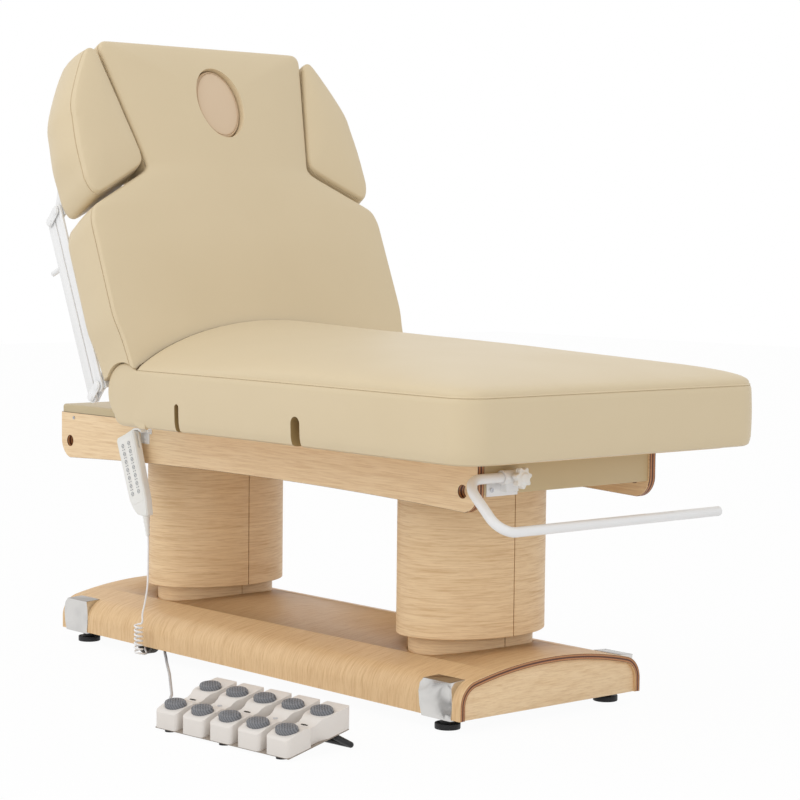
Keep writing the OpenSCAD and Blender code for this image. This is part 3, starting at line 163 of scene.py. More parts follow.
def named(name):
    """Makes the node tree of that name the first time only."""

    def wrap(make):
        return lambda: bpy.data.node_groups.get(name) or make(name)

    return wrap


def group_tree(name, inputs, outputs, kind="ShaderNodeTree"):
    """A node group with named sockets: (name, type, default)."""
    tree = bpy.data.node_groups.new(name, kind)
    for label, socket, value in inputs:
        item = tree.interface.new_socket(label, in_out="INPUT", socket_type=socket)
        if value is not None:
            item.default_value = value
    for label, socket in outputs:
        tree.interface.new_socket(label, in_out="OUTPUT", socket_type=socket)
    return tree, tree.nodes.new("NodeGroupInput"), tree.nodes.new("NodeGroupOutput")


def mix_colour(tree, factor, a, b, blend="MIX"):
    """Colour a to colour b by the factor."""
    return put(tree, "ShaderNodeMix", {0: factor, 6: a, 7: b}, data_type="RGBA", blend_type=blend).outputs[2]


def tint(tree, tone, r, g, b):
    """The tone times a plain colour."""
    return mix_colour(tree, 1.0, tone, (r, g, b, 1), "MULTIPLY")


def math_node(tree, operation, a, b=0.5):
    return put(tree, "ShaderNodeMath", {0: a, 1: b}, operation=operation).outputs[0]


def times(tree, a, b):
    return math_node(tree, "MULTIPLY", a, b)


def span(tree, value, low, high, to_low=0.0, to_high=1.0):
    """Maps a range of values to another, held at its ends."""
    values = {"Value": value, "From Min": low, "From Max": high, "To Min": to_low, "To Max": to_high}
    return put(tree, "ShaderNodeMapRange", values).outputs[0]


def noise(tree, vector, scale, detail, rough=0.5, out="Fac"):
    values = {"Vector": vector, "Scale": scale, "Detail": detail, "Roughness": rough}
    return put(tree, "ShaderNodeTexNoise", values).outputs[out]


def nudged(tree, vector, push, reach):
    """The vector moved a little by a noise's colour."""
    step = put(tree, "ShaderNodeVectorMath", {0: push, 3: reach}, operation="SCALE").outputs[0]
    return put(tree, "ShaderNodeVectorMath", {0: vector, 1: step}, operation="ADD").outputs[0]


def object_place(tree):
    return put(tree, "ShaderNodeTexCoord").outputs["Object"]


@named("Oak grain")
def oak_group(name):
    """Long pores and soft bands of quarter-cut oak. The vector comes squeezed along the grain."""
    tree, start, end = group_tree(
        name,
        [("Vector", V, None), ("Wood", C, (0.8, 0.6, 0.4, 1)), ("Pore strength", F, 0.3), ("Band strength", F, 0.2)],
        [("Color", C), ("Height", F), ("Roughness", F)],
    )
    vector, wood = start.outputs["Vector"], start.outputs["Wood"]
    pores, bands = start.outputs["Pore strength"], start.outputs["Band strength"]
    moved = nudged(tree, vector, noise(tree, vector, 14.0, 2.0, out="Color"), 0.006)
    dark_pore = span(tree, noise(tree, moved, 420.0, 3.0, 0.65), 0.5, 0.66)
    dark_line = span(tree, noise(tree, moved, 300.0, 3.0, 0.6), 0.47, 0.7)
    band = times(tree, span(tree, noise(tree, moved, 120.0, 3.0), 0.35, 0.68), bands)
    wide = times(tree, span(tree, noise(tree, moved, 9.0, 1.0), 0.35, 0.65), bands)
    first = mix_colour(tree, wide, tint(tree, wood, 1.07, 1.09, 1.12), wood)
    second = mix_colour(tree, band, first, tint(tree, wood, 0.86, 0.78, 0.66))
    both = math_node(tree, "MAXIMUM", times(tree, dark_pore, 0.75), dark_line)
    veneer = mix_colour(tree, times(tree, both, pores), second, tint(tree, wood, 0.66, 0.50, 0.34))
    height, rough = math_node(tree, "SUBTRACT", 1.0, both), span(tree, both, 0.0, 1.0, 0.42, 0.58)
    give(tree, end, {"Color": veneer, "Height": height, "Roughness": rough})
    return tree


@named("Surface mottle")
def mottle_group(name):
    """Slow unevenness and fine orange peel of paint, plastic and vinyl."""
    tree, start, end = group_tree(
        name,
        [("Colour", C, (0.8, 0.8, 0.8, 1)), ("Variation", F, 0.05), ("Peel scale", F, 900.0),
         ("Base roughness", F, 0.4), ("Roughness spread", F, 0.08)],
        [("Color", C), ("Height", F), ("Roughness", F)],
    )
    tone = start.outputs["Colour"]
    where = object_place(tree)
    slow = noise(tree, where, 6.0, 3.0)
    share = times(tree, span(tree, slow, 0.3, 0.7), start.outputs["Variation"])
    spread = times(tree, math_node(tree, "SUBTRACT", slow, 0.5), start.outputs["Roughness spread"])
    give(tree, end, {
        "Color": mix_colour(tree, share, tone, tint(tree, tone, 0.86, 0.84, 0.80)),
        "Height": noise(tree, where, start.outputs["Peel scale"], 2.0),
        "Roughness": math_node(tree, "ADD", start.outputs["Base roughness"], spread),
    })
    return tree


@named("Vinyl grain")
def vinyl_group(name):
    """Fine leather grain: small cells with soft creases between them."""
    sockets = [("Cell scale", F, 520.0), ("Crease", F, 0.5)]
    tree, start, end = group_tree(name, sockets, [("Height", F), ("Crease mask", F)])
    where = object_place(tree)
    moved = nudged(tree, where, noise(tree, where, 260.0, 1.0, out="Color"), 0.0015)
    cells = put(tree, "ShaderNodeTexVoronoi", {"Vector": moved, "Scale": start.outputs["Cell scale"]},
                feature="DISTANCE_TO_EDGE").outputs["Distance"]
    raised = span(tree, cells, 0.0, 0.35)
    height = math_node(tree, "POWER", raised, start.outputs["Crease"])
    give(tree, end, {"Height": height, "Crease mask": math_node(tree, "SUBTRACT", 1.0, raised)})
    return tree


def new_material(name):
    """An empty material with its shader wired to the output."""
    mat = bpy.data.materials.new(name)
    mat.use_nodes = True
    tree = mat.node_tree
    tree.nodes.clear()
    shader = put(tree, "ShaderNodeBsdfPrincipled")
    put(tree, "ShaderNodeOutputMaterial", {"Surface": shader.outputs[0]})
    return mat, tree, shader


def mottle(tree, tone, variation, peel, rough):
    """Outputs of the mottle group for one finish."""
    values = {"Colour": tone, "Variation": variation, "Peel scale": peel, "Base roughness": rough}
    values["Roughness spread"] = 0.1
    return put(tree, "ShaderNodeGroup", values, node_tree=mottle_group()).outputs


def bump(tree, shader, height, strength, distance):
    values = {"Strength": strength, "Distance": distance, "Height": height}
    give(tree, shader, {"Normal": put(tree, "ShaderNodeBump", values).outputs[0]})


def oak(name, tone, squeeze, pore, band):
    """Oak veneer whose grain runs along the axes that squeeze makes small."""
    mat, tree, shader = new_material(name)
    vector = put(tree, "ShaderNodeMapping", {"Vector": object_place(tree), "Scale": squeeze}).outputs[0]
    values = {"Vector": vector, "Wood": tone, "Pore strength": pore, "Band strength": band}
    grain = put(tree, "ShaderNodeGroup", values, node_tree=oak_group()).outputs
    give(tree, shader, {"Base Color": grain["Color"], "Roughness": grain["Roughness"], "Specular IOR Level": 0.35})
    bump(tree, shader, grain["Height"], 0.25, 0.0003)
    return mat


def ply_edge(name, light, dark, layers):
    """Cut edge of layered board: dark lines across the thickness, read from the strip's own UV map."""
    mat, tree, shader = new_material(name)
    uv = put(tree, "ShaderNodeUVMap", uv_map="Edge").outputs[0]
    place = put(tree, "ShaderNodeSeparateXYZ", {0: uv}).outputs
    wobble = times(tree, math_node(tree, "SUBTRACT", noise(tree, uv, 30.0, 2.0), 0.5), 0.05)
    step = math_node(tree, "FRACT", times(tree, math_node(tree, "ADD", place["Y"], wobble), float(layers)))
    line = span(tree, math_node(tree, "ABSOLUTE", math_node(tree, "SUBTRACT", step, 0.5)), 0.2, 0.3)
    stretch = {"X": times(tree, place["X"], 260.0), "Y": times(tree, place["Y"], 14.0)}
    fibre = noise(tree, put(tree, "ShaderNodeCombineXYZ", stretch).outputs[0], 1.0, 3.0)
    shade = mix_colour(tree, span(tree, fibre, 0.35, 0.7), light, tint(tree, light, 0.72, 0.62, 0.5))
    give(tree, shader, {"Base Color": mix_colour(tree, line, shade, dark), "Roughness": 0.5})
    bump(tree, shader, fibre, 0.2, 0.0002)
    return mat


def vinyl(name, tone):
    """Vinyl cover with a fine leather grain, painted shade in its creases and a slight sheen."""
    mat, tree, shader = new_material(name)
    cover = mottle(tree, tone, 0.12, 60.0, 0.44)
    grain = put(tree, "ShaderNodeGroup", {"Cell scale": 620.0, "Crease": 0.6}, node_tree=vinyl_group()).outputs
    # painted shade: the grain's creases are darkened in colour
    shade = tint(tree, cover["Color"], 0.90, 0.87, 0.82)
    crease_shaded_colour = mix_colour(tree, times(tree, grain["Crease mask"], 0.18), cover["Color"], shade)
    give(tree, shader, {"Base Color": crease_shaded_colour, "Roughness": cover["Roughness"],
                        "Specular IOR Level": 0.4, "Sheen Weight": 0.06})
    bump(tree, shader, grain["Height"], 0.22, 0.00012)
    return mat


def moulded(name, tone, rough, peel, strength, coat=0.0, variation=0.1, specular=0.45):
    """Paint, plastic or rubber with a fine orange peel."""
    mat, tree, shader = new_material(name)
    surface = mottle(tree, tone, variation, peel, rough)
    give(tree, shader, {"Base Color": surface["Color"], "Roughness": surface["Roughness"],
                        "Coat Weight": coat, "Specular IOR Level": specular})
    bump(tree, shader, surface["Height"], strength, 0.0002)
    return mat


def brushed(name, tone, rough, squeeze):
    """Metal with fine lines; its faces that turn up are darkened in colour as painted shade."""
    mat, tree, shader = new_material(name)
    where = object_place(tree)
    vector = put(tree, "ShaderNodeMapping", {"Vector": where, "Scale": squeeze}).outputs[0]
    lines = noise(tree, vector, 700.0, 3.0)
    cloud = span(tree, noise(tree, where, 25.0, 2.0), 0.4, 0.7, 0.0, 0.35)
    cloudy = mix_colour(tree, cloud, tone, tint(tree, tone, 0.72, 0.72, 0.74))
    # painted shade: faces that turn up are darkened in colour, on polished metal and bright steel alike
    normal = put(tree, "ShaderNodeNewGeometry").outputs["Normal"]
    painted_shade_upward = span(tree, put(tree, "ShaderNodeSeparateXYZ", {0: normal}).outputs["Z"], 0.25, 0.8)
    give(tree, shader, {
        "Base Color": mix_colour(tree, painted_shade_upward, cloudy, tint(tree, cloudy, 0.42, 0.38, 0.34)),
        "Roughness": span(tree, lines, 0.3, 0.7, rough * 0.8, rough * 1.3),
        "Metallic": 1.0,
    })
    bump(tree, shader, lines, 0.05, 0.0001)
    return mat


def ribbed(name, tone):
    """Rubber with curved ribs; the valleys between them are darkened in colour as painted shade."""
    mat, tree, shader = new_material(name)
    rubber = mottle(tree, tone, 0.25, 1200.0, 0.5)
    values = {"Vector": object_place(tree), "Scale": 78.0, "Distortion": 2.4, "Detail": 1.0, "Detail Scale": 0.5}
    wave = put(tree, "ShaderNodeTexWave", values, wave_type="BANDS", bands_direction="DIAGONAL").outputs["Fac"]
    # painted shade: the valleys between the ribs are darkened in colour
    valley = span(tree, wave, 0.42, 0.16)
    shade = tint(tree, rubber["Color"], 0.62, 0.62, 0.63)
    give(tree, shader, {"Base Color": mix_colour(tree, valley, rubber["Color"], shade),
                        "Roughness": rubber["Roughness"], "Specular IOR Level": 0.3})
    bump(tree, shader, math_node(tree, "SUBTRACT", 1.0, valley), 0.7, 0.0009)
    return mat


MATERIALS = {}


def material(name):
    """The named finish, built the first time that it is asked for."""
    if name in MATERIALS:
        return MATERIALS[name]
    scene = bpy.context.scene
    soft, wood, fit = scene.bed_cushions, scene.bed_timber, scene.bed_fittings
    makers = {
        "vinyl": lambda: vinyl("vinyl_cover", soft.vinyl),
        "plug_vinyl": lambda: vinyl("vinyl_plug", soft.plug_vinyl),
        # painted shade: darker vinyl for the walls inside the strap slots
        "lining": lambda: vinyl("vinyl_painted_slot_shade", srgb(168, 142, 96)),
        # painted shade: dark vinyl for the gap where the seat meets the backrest, and for the stitch row drawn as its
        # shadow
        "crevice_shade": lambda: vinyl("vinyl_painted_crevice_shade", srgb(96, 74, 42)),
        "panel_vinyl": lambda: vinyl("vinyl_panels", srgb(206, 186, 146)),
        "deck_vinyl": lambda: vinyl("vinyl_deck", srgb(198, 180, 142)),
        "thread": lambda: moulded("seam_thread", soft.thread, 0.6, 3000.0, 0.3),
        # seam thread darkened for the backrest: partly the thread's colour, partly painted shade of the seam's groove
        "dark_thread": lambda: moulded("dark_seam_thread", srgb(138, 112, 70), 0.6, 3000.0, 0.3),
        "rail_oak": lambda: oak("oak_rails", wood.rail_oak, (0.035, 1.0, 1.0), 0.42, 0.3),
        "base_oak": lambda: oak("oak_base", wood.base_oak, (1.0, 0.06, 0.09), 0.42, 0.3),
        "column_oak": lambda: oak("oak_columns", wood.column_oak, (0.045, 0.045, 1.0), 0.5, 0.35),
        "panel_oak": lambda: oak("oak_panels", wood.rail_oak, (0.08, 0.08, 1.0), 0.42, 0.3),
        "board": lambda: oak("plain_board", wood.column_oak, (0.03, 1.0, 1.0), 0.3, 0.4),
        "ply": lambda: ply_edge("layered_edge", wood.ply_light, wood.ply_dark, 2),
        "paint": lambda: moulded("white_paint", fit.paint, 0.33, 700.0, 0.1, coat=0.15, variation=0.04),
        "plastic": lambda: moulded("offwhite_plastic", fit.plastic, 0.38, 1400.0, 0.12, variation=0.08),
        "pedal_plastic": lambda: moulded("pedal_plastic", srgb(228, 222, 216), 0.36, 1400.0, 0.12, variation=0.08),
        "cord_white": lambda: moulded("white_cord", srgb(246, 246, 246), 0.42, 1800.0, 0.1, variation=0.06),
        "cord_grey": lambda: moulded("grey_cord", srgb(196, 196, 198), 0.45, 1800.0, 0.1),
        "film": lambda: moulded("key_film", srgb(244, 243, 239), 0.42, 1500.0, 0.05, variation=0.04),
        "icon": lambda: moulded("key_print", srgb(150, 152, 156), 0.5, 2000.0, 0.05),
        "plug_grey": lambda: moulded("plug_plastic", srgb(86, 78, 70), 0.5, 900.0, 0.2),
        "taupe": lambda: moulded("taupe_plate", srgb(150, 138, 126), 0.5, 800.0, 0.1),
        "dark": lambda: moulded("dark_inside", srgb(46, 40, 34), 0.7, 500.0, 0.1, specular=0.2),
        "frame_paint": lambda: moulded("grey_frame_paint", srgb(120, 122, 126), 0.45, 600.0, 0.2, variation=0.2),
        "black_rubber": lambda: moulded("black_rubber", fit.black_rubber, 0.5, 900.0, 0.3, variation=0.2,
                                        specular=0.35),
        "pad_rubber": lambda: ribbed("pedal_rubber", fit.pad_rubber),
        "polished": lambda: brushed("polished_metal", fit.metal, 0.16, (0.05, 1.0, 1.0)),
        "steel": lambda: brushed("bright_steel", srgb(200, 200, 204), 0.3, (1.0, 1.0, 0.05)),
    }
    MATERIALS[name] = makers[name]()
    return MATERIALS[name]


# Mesh helpers
def placed(name, mesh):
    """An object for a mesh, in the scene and at the origin."""
    obj = bpy.data.objects.new(name, mesh)
    bpy.context.scene.collection.objects.link(obj)
    return obj


def from_points(name, points, edges, faces):
    mesh = bpy.data.meshes.new(name)
    mesh.from_pydata([tuple(p) for p in rows(points)], edges, [tuple(int(i) for i in f) for f in faces])
    return mesh


def piece(name, points, faces, finishes, angle=40.0, kinds=None):
    """A smooth mesh from bed millimetres. With kinds, each face has the number of its finish."""
    mesh = from_points(name, points, [], faces)
    for each in (finishes,) if isinstance(finishes, str) else finishes:
        mesh.materials.append(material(each))
    if kinds:
        mesh.polygons.foreach_set("material_index", kinds)
    mesh.validate()
    obj = placed(name, mesh)
    tidy(obj, angle)
    return obj


def tidy(obj, angle=40.0):
    """Merges doubles, turns the faces outwards and smooths all but the sharp edges."""
    work = bmesh.new()
    work.from_mesh(obj.data)
    bmesh.ops.remove_doubles(work, verts=work.verts, dist=1e-6)
    bmesh.ops.dissolve_degenerate(work, dist=1e-7, edges=work.edges)
    bmesh.ops.recalc_face_normals(work, faces=work.faces)
    work.to_mesh(obj.data)
    work.free()
    smooth(obj, angle)


def smooth(obj, angle):
    """Smooth shading, sharp where faces meet at more than the angle."""
    mesh = obj.data
    mesh.polygons.foreach_set("use_smooth", [True] * len(mesh.polygons))
    mesh.set_sharp_from_angle(angle=math.radians(angle))
    mesh.update()


def apply_all(obj):
    """Turns the evaluated object into its plain mesh and takes the modifiers off."""
    depsgraph = bpy.context.evaluated_depsgraph_get()
    made = bpy.data.meshes.new_from_object(obj.evaluated_get(depsgraph), depsgraph=depsgraph)
    old = obj.data
    obj.modifiers.clear()
    obj.data = made
    bpy.data.meshes.remove(old)


def finish_piece(obj, body, nodes=()):
    """The piece rides a body and stands for CAD nodes."""
    if nodes:
        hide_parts(*nodes)
    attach(obj, body)
    return obj


def softened(node, body, finish, width, segments=2, limit=32.0):
    """Stands for a CAD node with its own merged shape and rounded edges."""
    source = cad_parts[node]
    mesh = source.data.copy()
    mesh.transform(source.matrix_world)
    mesh.materials.clear()
    obj = placed(node.replace("_", "-") + "-dressed", mesh)
    work = bmesh.new()
    work.from_mesh(mesh)
    bmesh.ops.remove_doubles(work, verts=work.verts, dist=2e-6)
    bmesh.ops.dissolve_limit(work, angle_limit=math.radians(0.6), verts=work.verts, edges=work.edges,
                             use_dissolve_boundaries=False)
    work.to_mesh(mesh)
    work.free()
    mesh.materials.append(material(finish))
    round_off = obj.modifiers.new("Round", "BEVEL")
    round_off.width = width
    round_off.segments = segments
    round_off.limit_method = "ANGLE"
    round_off.angle_limit = math.radians(limit)
    round_off.use_clamp_overlap = True
    round_off.miter_outer = "MITER_ARC"
    apply_all(obj)
    smooth(obj, 34.0)
    return finish_piece(obj, body, (node,))


def frame_x(node):
    """Lowest X of a CAD node at rest, in bed millimetres."""
    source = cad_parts[node]
    return min((source.matrix_world @ v.co).x for v in source.data.vertices) * 1000.0 + MID_X


def dress(node, finish):
    """Gives a CAD node that stays its better material."""
    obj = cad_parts[node]
    obj.data.materials.clear()
    obj.data.materials.append(material(finish))


def arc(cx, cy, r, a0, a1, n):
    """Points of an arc from one angle to another, in degrees."""
    turns = [math.radians(a0 + (a1 - a0) * i / n) for i in range(n + 1)]
    return [(cx + r * math.cos(t), cy + r * math.sin(t)) for t in turns]


def oval(a, b, n):
    """Points round an ellipse."""
    return [(a * x, b * y) for x, y in arc(0, 0, 1, 0, 360, n)[:-1]]


def barrel(m, n, start=0):
    """Faces round m rings of n points, with both ends closed."""
    faces = []
    for k in range(m - 1):
        a = start + k * n
        faces += [(a + j, a + (j + 1) % n, a + n + (j + 1) % n, a + n + j) for j in range(n)]
    last = start + (m - 1) * n
    return faces + [tuple(range(start + n - 1, start - 1, -1)), tuple(range(last, last + n))]


def strip(m, n, start=0):
    """Faces of a thick bent strip: m lines of n points, the last joined to the first, with both cut ends."""
    faces = []
    for k in range(m):
        a, b = start + k * n, start + (k + 1) % m * n
        faces += [(a + j, a + j + 1, b + j + 1, b + j) for j in range(n - 1)]
    return faces + [tuple(start + k * n + j for k in range(m)) for j in (0, n - 1)]


def carve(obj, points, finish="dark", lining=False):
    """Cuts the prism between two equal outlines out of a piece. With the lining flag set, the cut's walls keep the
    tool's finish; the seat's strap slots use it for the darker vinyl painted as shade inside them.
    """
    carve_with(obj, piece("cutting-tool", points, barrel(2, len(points) // 2), finish), lining)


def carve_with(obj, tool, lining=False):
    """Cuts the tool's shape out of a piece and removes the tool."""
    op = obj.modifiers.new("Carve", "BOOLEAN")
    op.operation = "DIFFERENCE"
    op.solver = "EXACT"
    op.object = tool
    op.material_mode = "TRANSFER" if lining else "INDEX"
    apply_all(obj)
    data = tool.data
    bpy.data.objects.remove(tool)
    bpy.data.meshes.remove(data)


def tube(points, radius, sides):
    """Points and faces of a round tube along a path, with flat ends."""
    path = np.array(points, dtype=float)
    ts = np.gradient(path, axis=0)
    ts /= np.linalg.norm(ts, axis=1)[:, None]
    side = np.cross(ts[0], [0, 0, 1.0])
    if np.linalg.norm(side) < 0.2:
        side = np.cross(ts[0], [0, 1.0, 0])
    side /= np.linalg.norm(side)
    spots = []
    for p, t in zip(path, ts):
        side = side - t * np.dot(side, t)
        side /= np.linalg.norm(side)
        up = np.cross(t, side)
        spots += [p + radius * (a * side + b * up) for a, b in oval(1, 1, sides)]
    return np.array(spots), barrel(len(path), sides)


def between(p, i, t):
    """Smooth curve through points, between point i and the next."""
    a, b, c, d = p[max(i - 1, 0)], p[i], p[i + 1], p[min(i + 2, len(p) - 1)]
    return 0.5 * (2 * b + (c - a) * t + (2 * a - 5 * b + 4 * c - d) * t * t + (3 * b - a - 3 * c + d) * t**3)


def spline(points, m):
    """Points of a smooth curve through the given ones, m to each stretch."""
    p = [np.array(q, dtype=float) for q in points]
    return [between(p, i, j / m) for i in range(len(p) - 1) for j in range(m)] + [p[-1]]


# The picture's camera: bearing, fall and roll in radians, lens in millimetres and its place in bed millimetres
BEARING, FALL, ROLL, LENS = 0.84974, 0.0692857, 0.0106854, 103.425
CAMERA_SPOT = (3917.64, -3278.44, 965.12)
FLOOR_HALF, FLOOR_GLOW = 14, 0.96


def seen_rays(tree):
    """1 for camera, mirror and glass rays, 0 for all others."""
    rays = put(tree, "ShaderNodeLightPath").outputs
    through = math_node(tree, "MAXIMUM", rays["Is Glossy Ray"], rays["Is Transmission Ray"])
    return math_node(tree, "MAXIMUM", rays["Is Camera Ray"], through)


def fresh_tree(owner):
    """Turns the owner's nodes on and empties their tree."""
    owner.use_nodes = True
    owner.node_tree.nodes.clear()
    return owner.node_tree


class BED_OT_stage(bpy.types.Operator):
    """Camera at the picture's angle, pale floor, room light and soft lamps"""

    bl_idname = "spa_bed.stage"
    bl_label = "Stage and camera"

    def execute(self, context):
        scene = context.scene
        look = scene.bed_stage
        self.camera(scene)
        scene.view_settings.view_transform = "Standard"
        scene.world = bpy.data.worlds.new("Room")
        tree = fresh_tree(scene.world)
        strength = span(tree, seen_rays(tree), 0.0, 1.0, look.sky, 1.0)
        sky = put(tree, "ShaderNodeBackground", {"Color": (1, 1, 1, 1), "Strength": strength})
        put(tree, "ShaderNodeOutputWorld", {"Surface": sky.outputs[0]})
        self.floor(look.floor)
        self.lamp("Key", (-0.4, -3.6, 4.4), (0.0, 0.0, 0.6), 6.0, look.key_power)
        self.lamp("Fill", (4.4, -1.6, 2.4), (0.0, 0.1, 0.7), 5.0, look.fill_power)
        return {"FINISHED"}

    def camera(self, scene):
        """Camera at the place and angle of the picture."""
        forward = Vector((-math.sin(BEARING) * math.cos(FALL), math.cos(BEARING) * math.cos(FALL), -math.sin(FALL)))
        flat = Vector((math.cos(BEARING), math.sin(BEARING), 0.0))
        up = flat.cross(forward)
        right = math.cos(ROLL) * flat + math.sin(ROLL) * up
        top = -math.sin(ROLL) * flat + math.cos(ROLL) * up
        data = bpy.data.cameras.new("Camera")
        data.sensor_width = 36.0
        data.lens = LENS
        data.clip_end = 100.0
        camera = placed("Camera", data)
        turn = Matrix((right, top, -forward)).transposed().to_4x4()
        camera.matrix_world = Matrix.Translation(Vector(rows([CAMERA_SPOT])[0])) @ turn
        scene.camera = camera

    def floor(self, tone):
        """Wide floor that looks nearly white and lights the object as its colour says."""
        h = FLOOR_HALF
        mesh = bpy.data.meshes.new("floor")
        mesh.from_pydata([(-h, -h, 0), (h, -h, 0), (h, h, 0), (-h, h, 0)], [], [(0, 1, 2, 3)])
        floor = placed("floor", mesh)
        mat = bpy.data.materials.new("floor_white")
        tree = fresh_tree(mat)
        plain = put(tree, "ShaderNodeBsdfDiffuse", {"Color": tone})
        glow = put(tree, "ShaderNodeEmission", {"Color": (1, 1, 1, 1), "Strength": 1.0})
        part = times(tree, seen_rays(tree), FLOOR_GLOW)
        mixed = put(tree, "ShaderNodeMixShader", {0: part, 1: plain.outputs[0], 2: glow.outputs[0]})
        put(tree, "ShaderNodeOutputMaterial", {"Surface": mixed.outputs[0]})
        mesh.materials.append(mat)

    def lamp(self, name, spot, aim, size, power):
        """Soft square lamp that faces a point."""
        data = bpy.data.lights.new(name, "AREA")
        data.shape = "SQUARE"
        data.size = size
        data.energy = power
        turn = (Vector(aim) - Vector(spot)).to_track_quat("-Z", "Y").to_matrix().to_4x4()
        placed(name, data).matrix_world = Matrix.Translation(spot) @ turn


# Cords
COIL = {"x": -389.5, "y": -282.0, "top": 96.0, "low": 16.0, "r": 9.0, "steps": 53, "turn": 10.0, "wire": 2.2}
PLUG = (-436.0, -234.0, 36.5)
SOCKET = (-352.0, -220.0, 38.0)
HANDSET = (-441.0, -278.0, 513.0, 20.4)
KEY_SIDE, KEY_STEP = 12.5, 19.0
PEDAL_X, PEDAL_Y, PEDAL_PITCH, PEDAL_TURN = 437.0, -602.0, 80.4, 4.3
PEDAL_REAR, PEDAL_SLOPE = (1 - 0.435) * 166.0, 0.2516


def coil_line(fine=2):
    """The curls from their lower end to the plain cord above them."""
    c = COIL
    pitch = (c["top"] - c["low"] - c["turn"] - 2 * c["wire"]) * 8 / c["steps"]

    def on(deg, z):
        a = math.radians(deg)
        return np.array([c["x"] + c["r"] * math.cos(a), c["y"] + c["r"] * math.sin(a), z])

    whole = 45.0 * c["steps"]
    path = [on(-45.0 / fine * i, c["low"] + pitch * i / (8 * fine)) for i in range(fine * c["steps"] + 1)]
    rise = c["low"] + pitch * c["steps"] / 8
    to_deg = 180.0 / (math.pi * c["r"])
    for t in (15, 30, 45, 60, 75, 90):
        a = math.radians(t)
        path.append(on(-whole - c["turn"] * math.sin(a) * to_deg, rise + c["turn"] * (1 - math.cos(a))))
    path.append(on(-whole - c["turn"] * to_deg, c["top"]))
    fall = math.atan(pitch / (2 * math.pi * c["r"]))
    return path, np.array([0.0, -math.cos(fall), math.sin(fall)])


def handset_point(across, along):
    """A point of the hanging handset's middle plane."""
    x, y, z, deg = HANDSET
    c, q = math.cos(math.radians(deg)), math.sin(math.radians(deg))
    return np.array([x + across * c - along * q, y, z + across * q + along * c])


def pedal_point(across, along, up):
    """A point of the foot control, from the middle of its middle pedal."""
    c, q = math.cos(math.radians(PEDAL_TURN)), math.sin(math.radians(PEDAL_TURN))
    return np.array([PEDAL_X + across * c - along * q, PEDAL_Y + across * q + along * c, up])


class BED_OT_cords(bpy.types.Operator):
    """Handset lead with its curls, and the foot control's cord"""

    bl_idname = "spa_bed.cords"
    bl_label = "Cords"

    def execute(self, context):
        wire = COIL["wire"]
        lead = 2 * wire
        coil, fall = coil_line()
        end, start = coil[-1], coil[0]
        s = np.array([PLUG[0] + 18.0, PLUG[1], PLUG[2] - 12.0])
        gap = s - start
        low = spline([start - lead * fall, start + [-3, 12, -3], start + [-12, 24, -3],
                      start + [gap[0] + 6, gap[1] - 14, 3],
                      s - [-1, lead + 4, 1], s - [0, lead, 0]], 6)
        curly = coil[::-1] + low + [s]
        foot = np.array([end[0], end[1], COIL["low"]])
        self.run("curly-cord", curly, wire, "cord_white", ("base", "lift"), ("curly_cord", "base_cord"), end,
                 "hanging", "limp", (foot, end))

        e = handset_point(-2.0, -239.0)
        d = e - handset_point(8.0, -192.0)
        d /= np.linalg.norm(d)
        line = [e] + spline([e + d * lead, e + [1.5, 0, -20], e + [1, 0, -52], e + [0, 0, -102], e + [-6, 1, -132],
                             [end[0] + 8, end[1] - 1, COIL["top"] + 28], end + [0.5, 0, 12], end + [0, 0, lead]],
                             6) + [end]
        self.run("handset-cord", line, wire, "cord_white", ("lift", "top"), ("handset_cord",), e, "hanging", "limp",
                 (end, e))

        e = pedal_point(-2 * PEDAL_PITCH - 2, PEDAL_REAR, 58.0)
        d = pedal_point(0, -1, 0) - pedal_point(0, 0, 0)
        s = np.array(SOCKET)
        r = 3.3
        f = r + 0.3
        floor_run = [(16, -23, f + 3), (36, -36, f), (102, -79, f), (162, -118, f), (219, -157, f), (282, -200, f),
                     (352, -248, f), (400, -281, f), (482, -286, f)]
        floor_run = [[s[0] + x, s[1] + y, z] for x, y, z in floor_run]
        rise = [[e[0] - 68, e[1] + 20, 12], [e[0] - 18, e[1] + 28, 36], [e[0] + 2, e[1] + 24, 54], e - 7 * d]
        line = [s] + spline([s - [0, 6, 0], s + [1, -12, -7], s + [4, -18, -18]] + floor_run + rise, 5) + [e]
        self.run("foot-control-cord", line, r, "cord_grey", ("base",), ("foot_cord",), s, "loose", "medium")
        return {"FINISHED"}

    def run(self, name, line, radius, finish, bodies, nodes, exit_point, lay, stiffness, across=()):
        spots, faces = tube(line, radius, 12)
        obj = piece(name, spots, faces, finish)
        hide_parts(*nodes)
        if across:
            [tuple(p) for p in rows(across)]
            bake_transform(obj)
        else:
            finish_piece(obj, bodies[0])
        path = rows(line)
        tuple(rows([exit_point])[0])


# Base and columns
BASE_X0, BASE_X1 = -745.4, 668.2
BASE_HW, BASE_Z, BASE_TOP, SHOULDER, RISE = 256.5, 26.7, 129.0, 50.0, 25.0
COLUMNS = ((421.0, "lift", "foot_cover"), (-474.0, "head_column", "head_cover"))
OUTER_A, OUTER_B, INNER_A, INNER_B = 129.0, 176.0, 104.0, 151.0
OUTER_SPAN, INNER_SPAN = (153.4, 506.0), (68.0, 478.0)


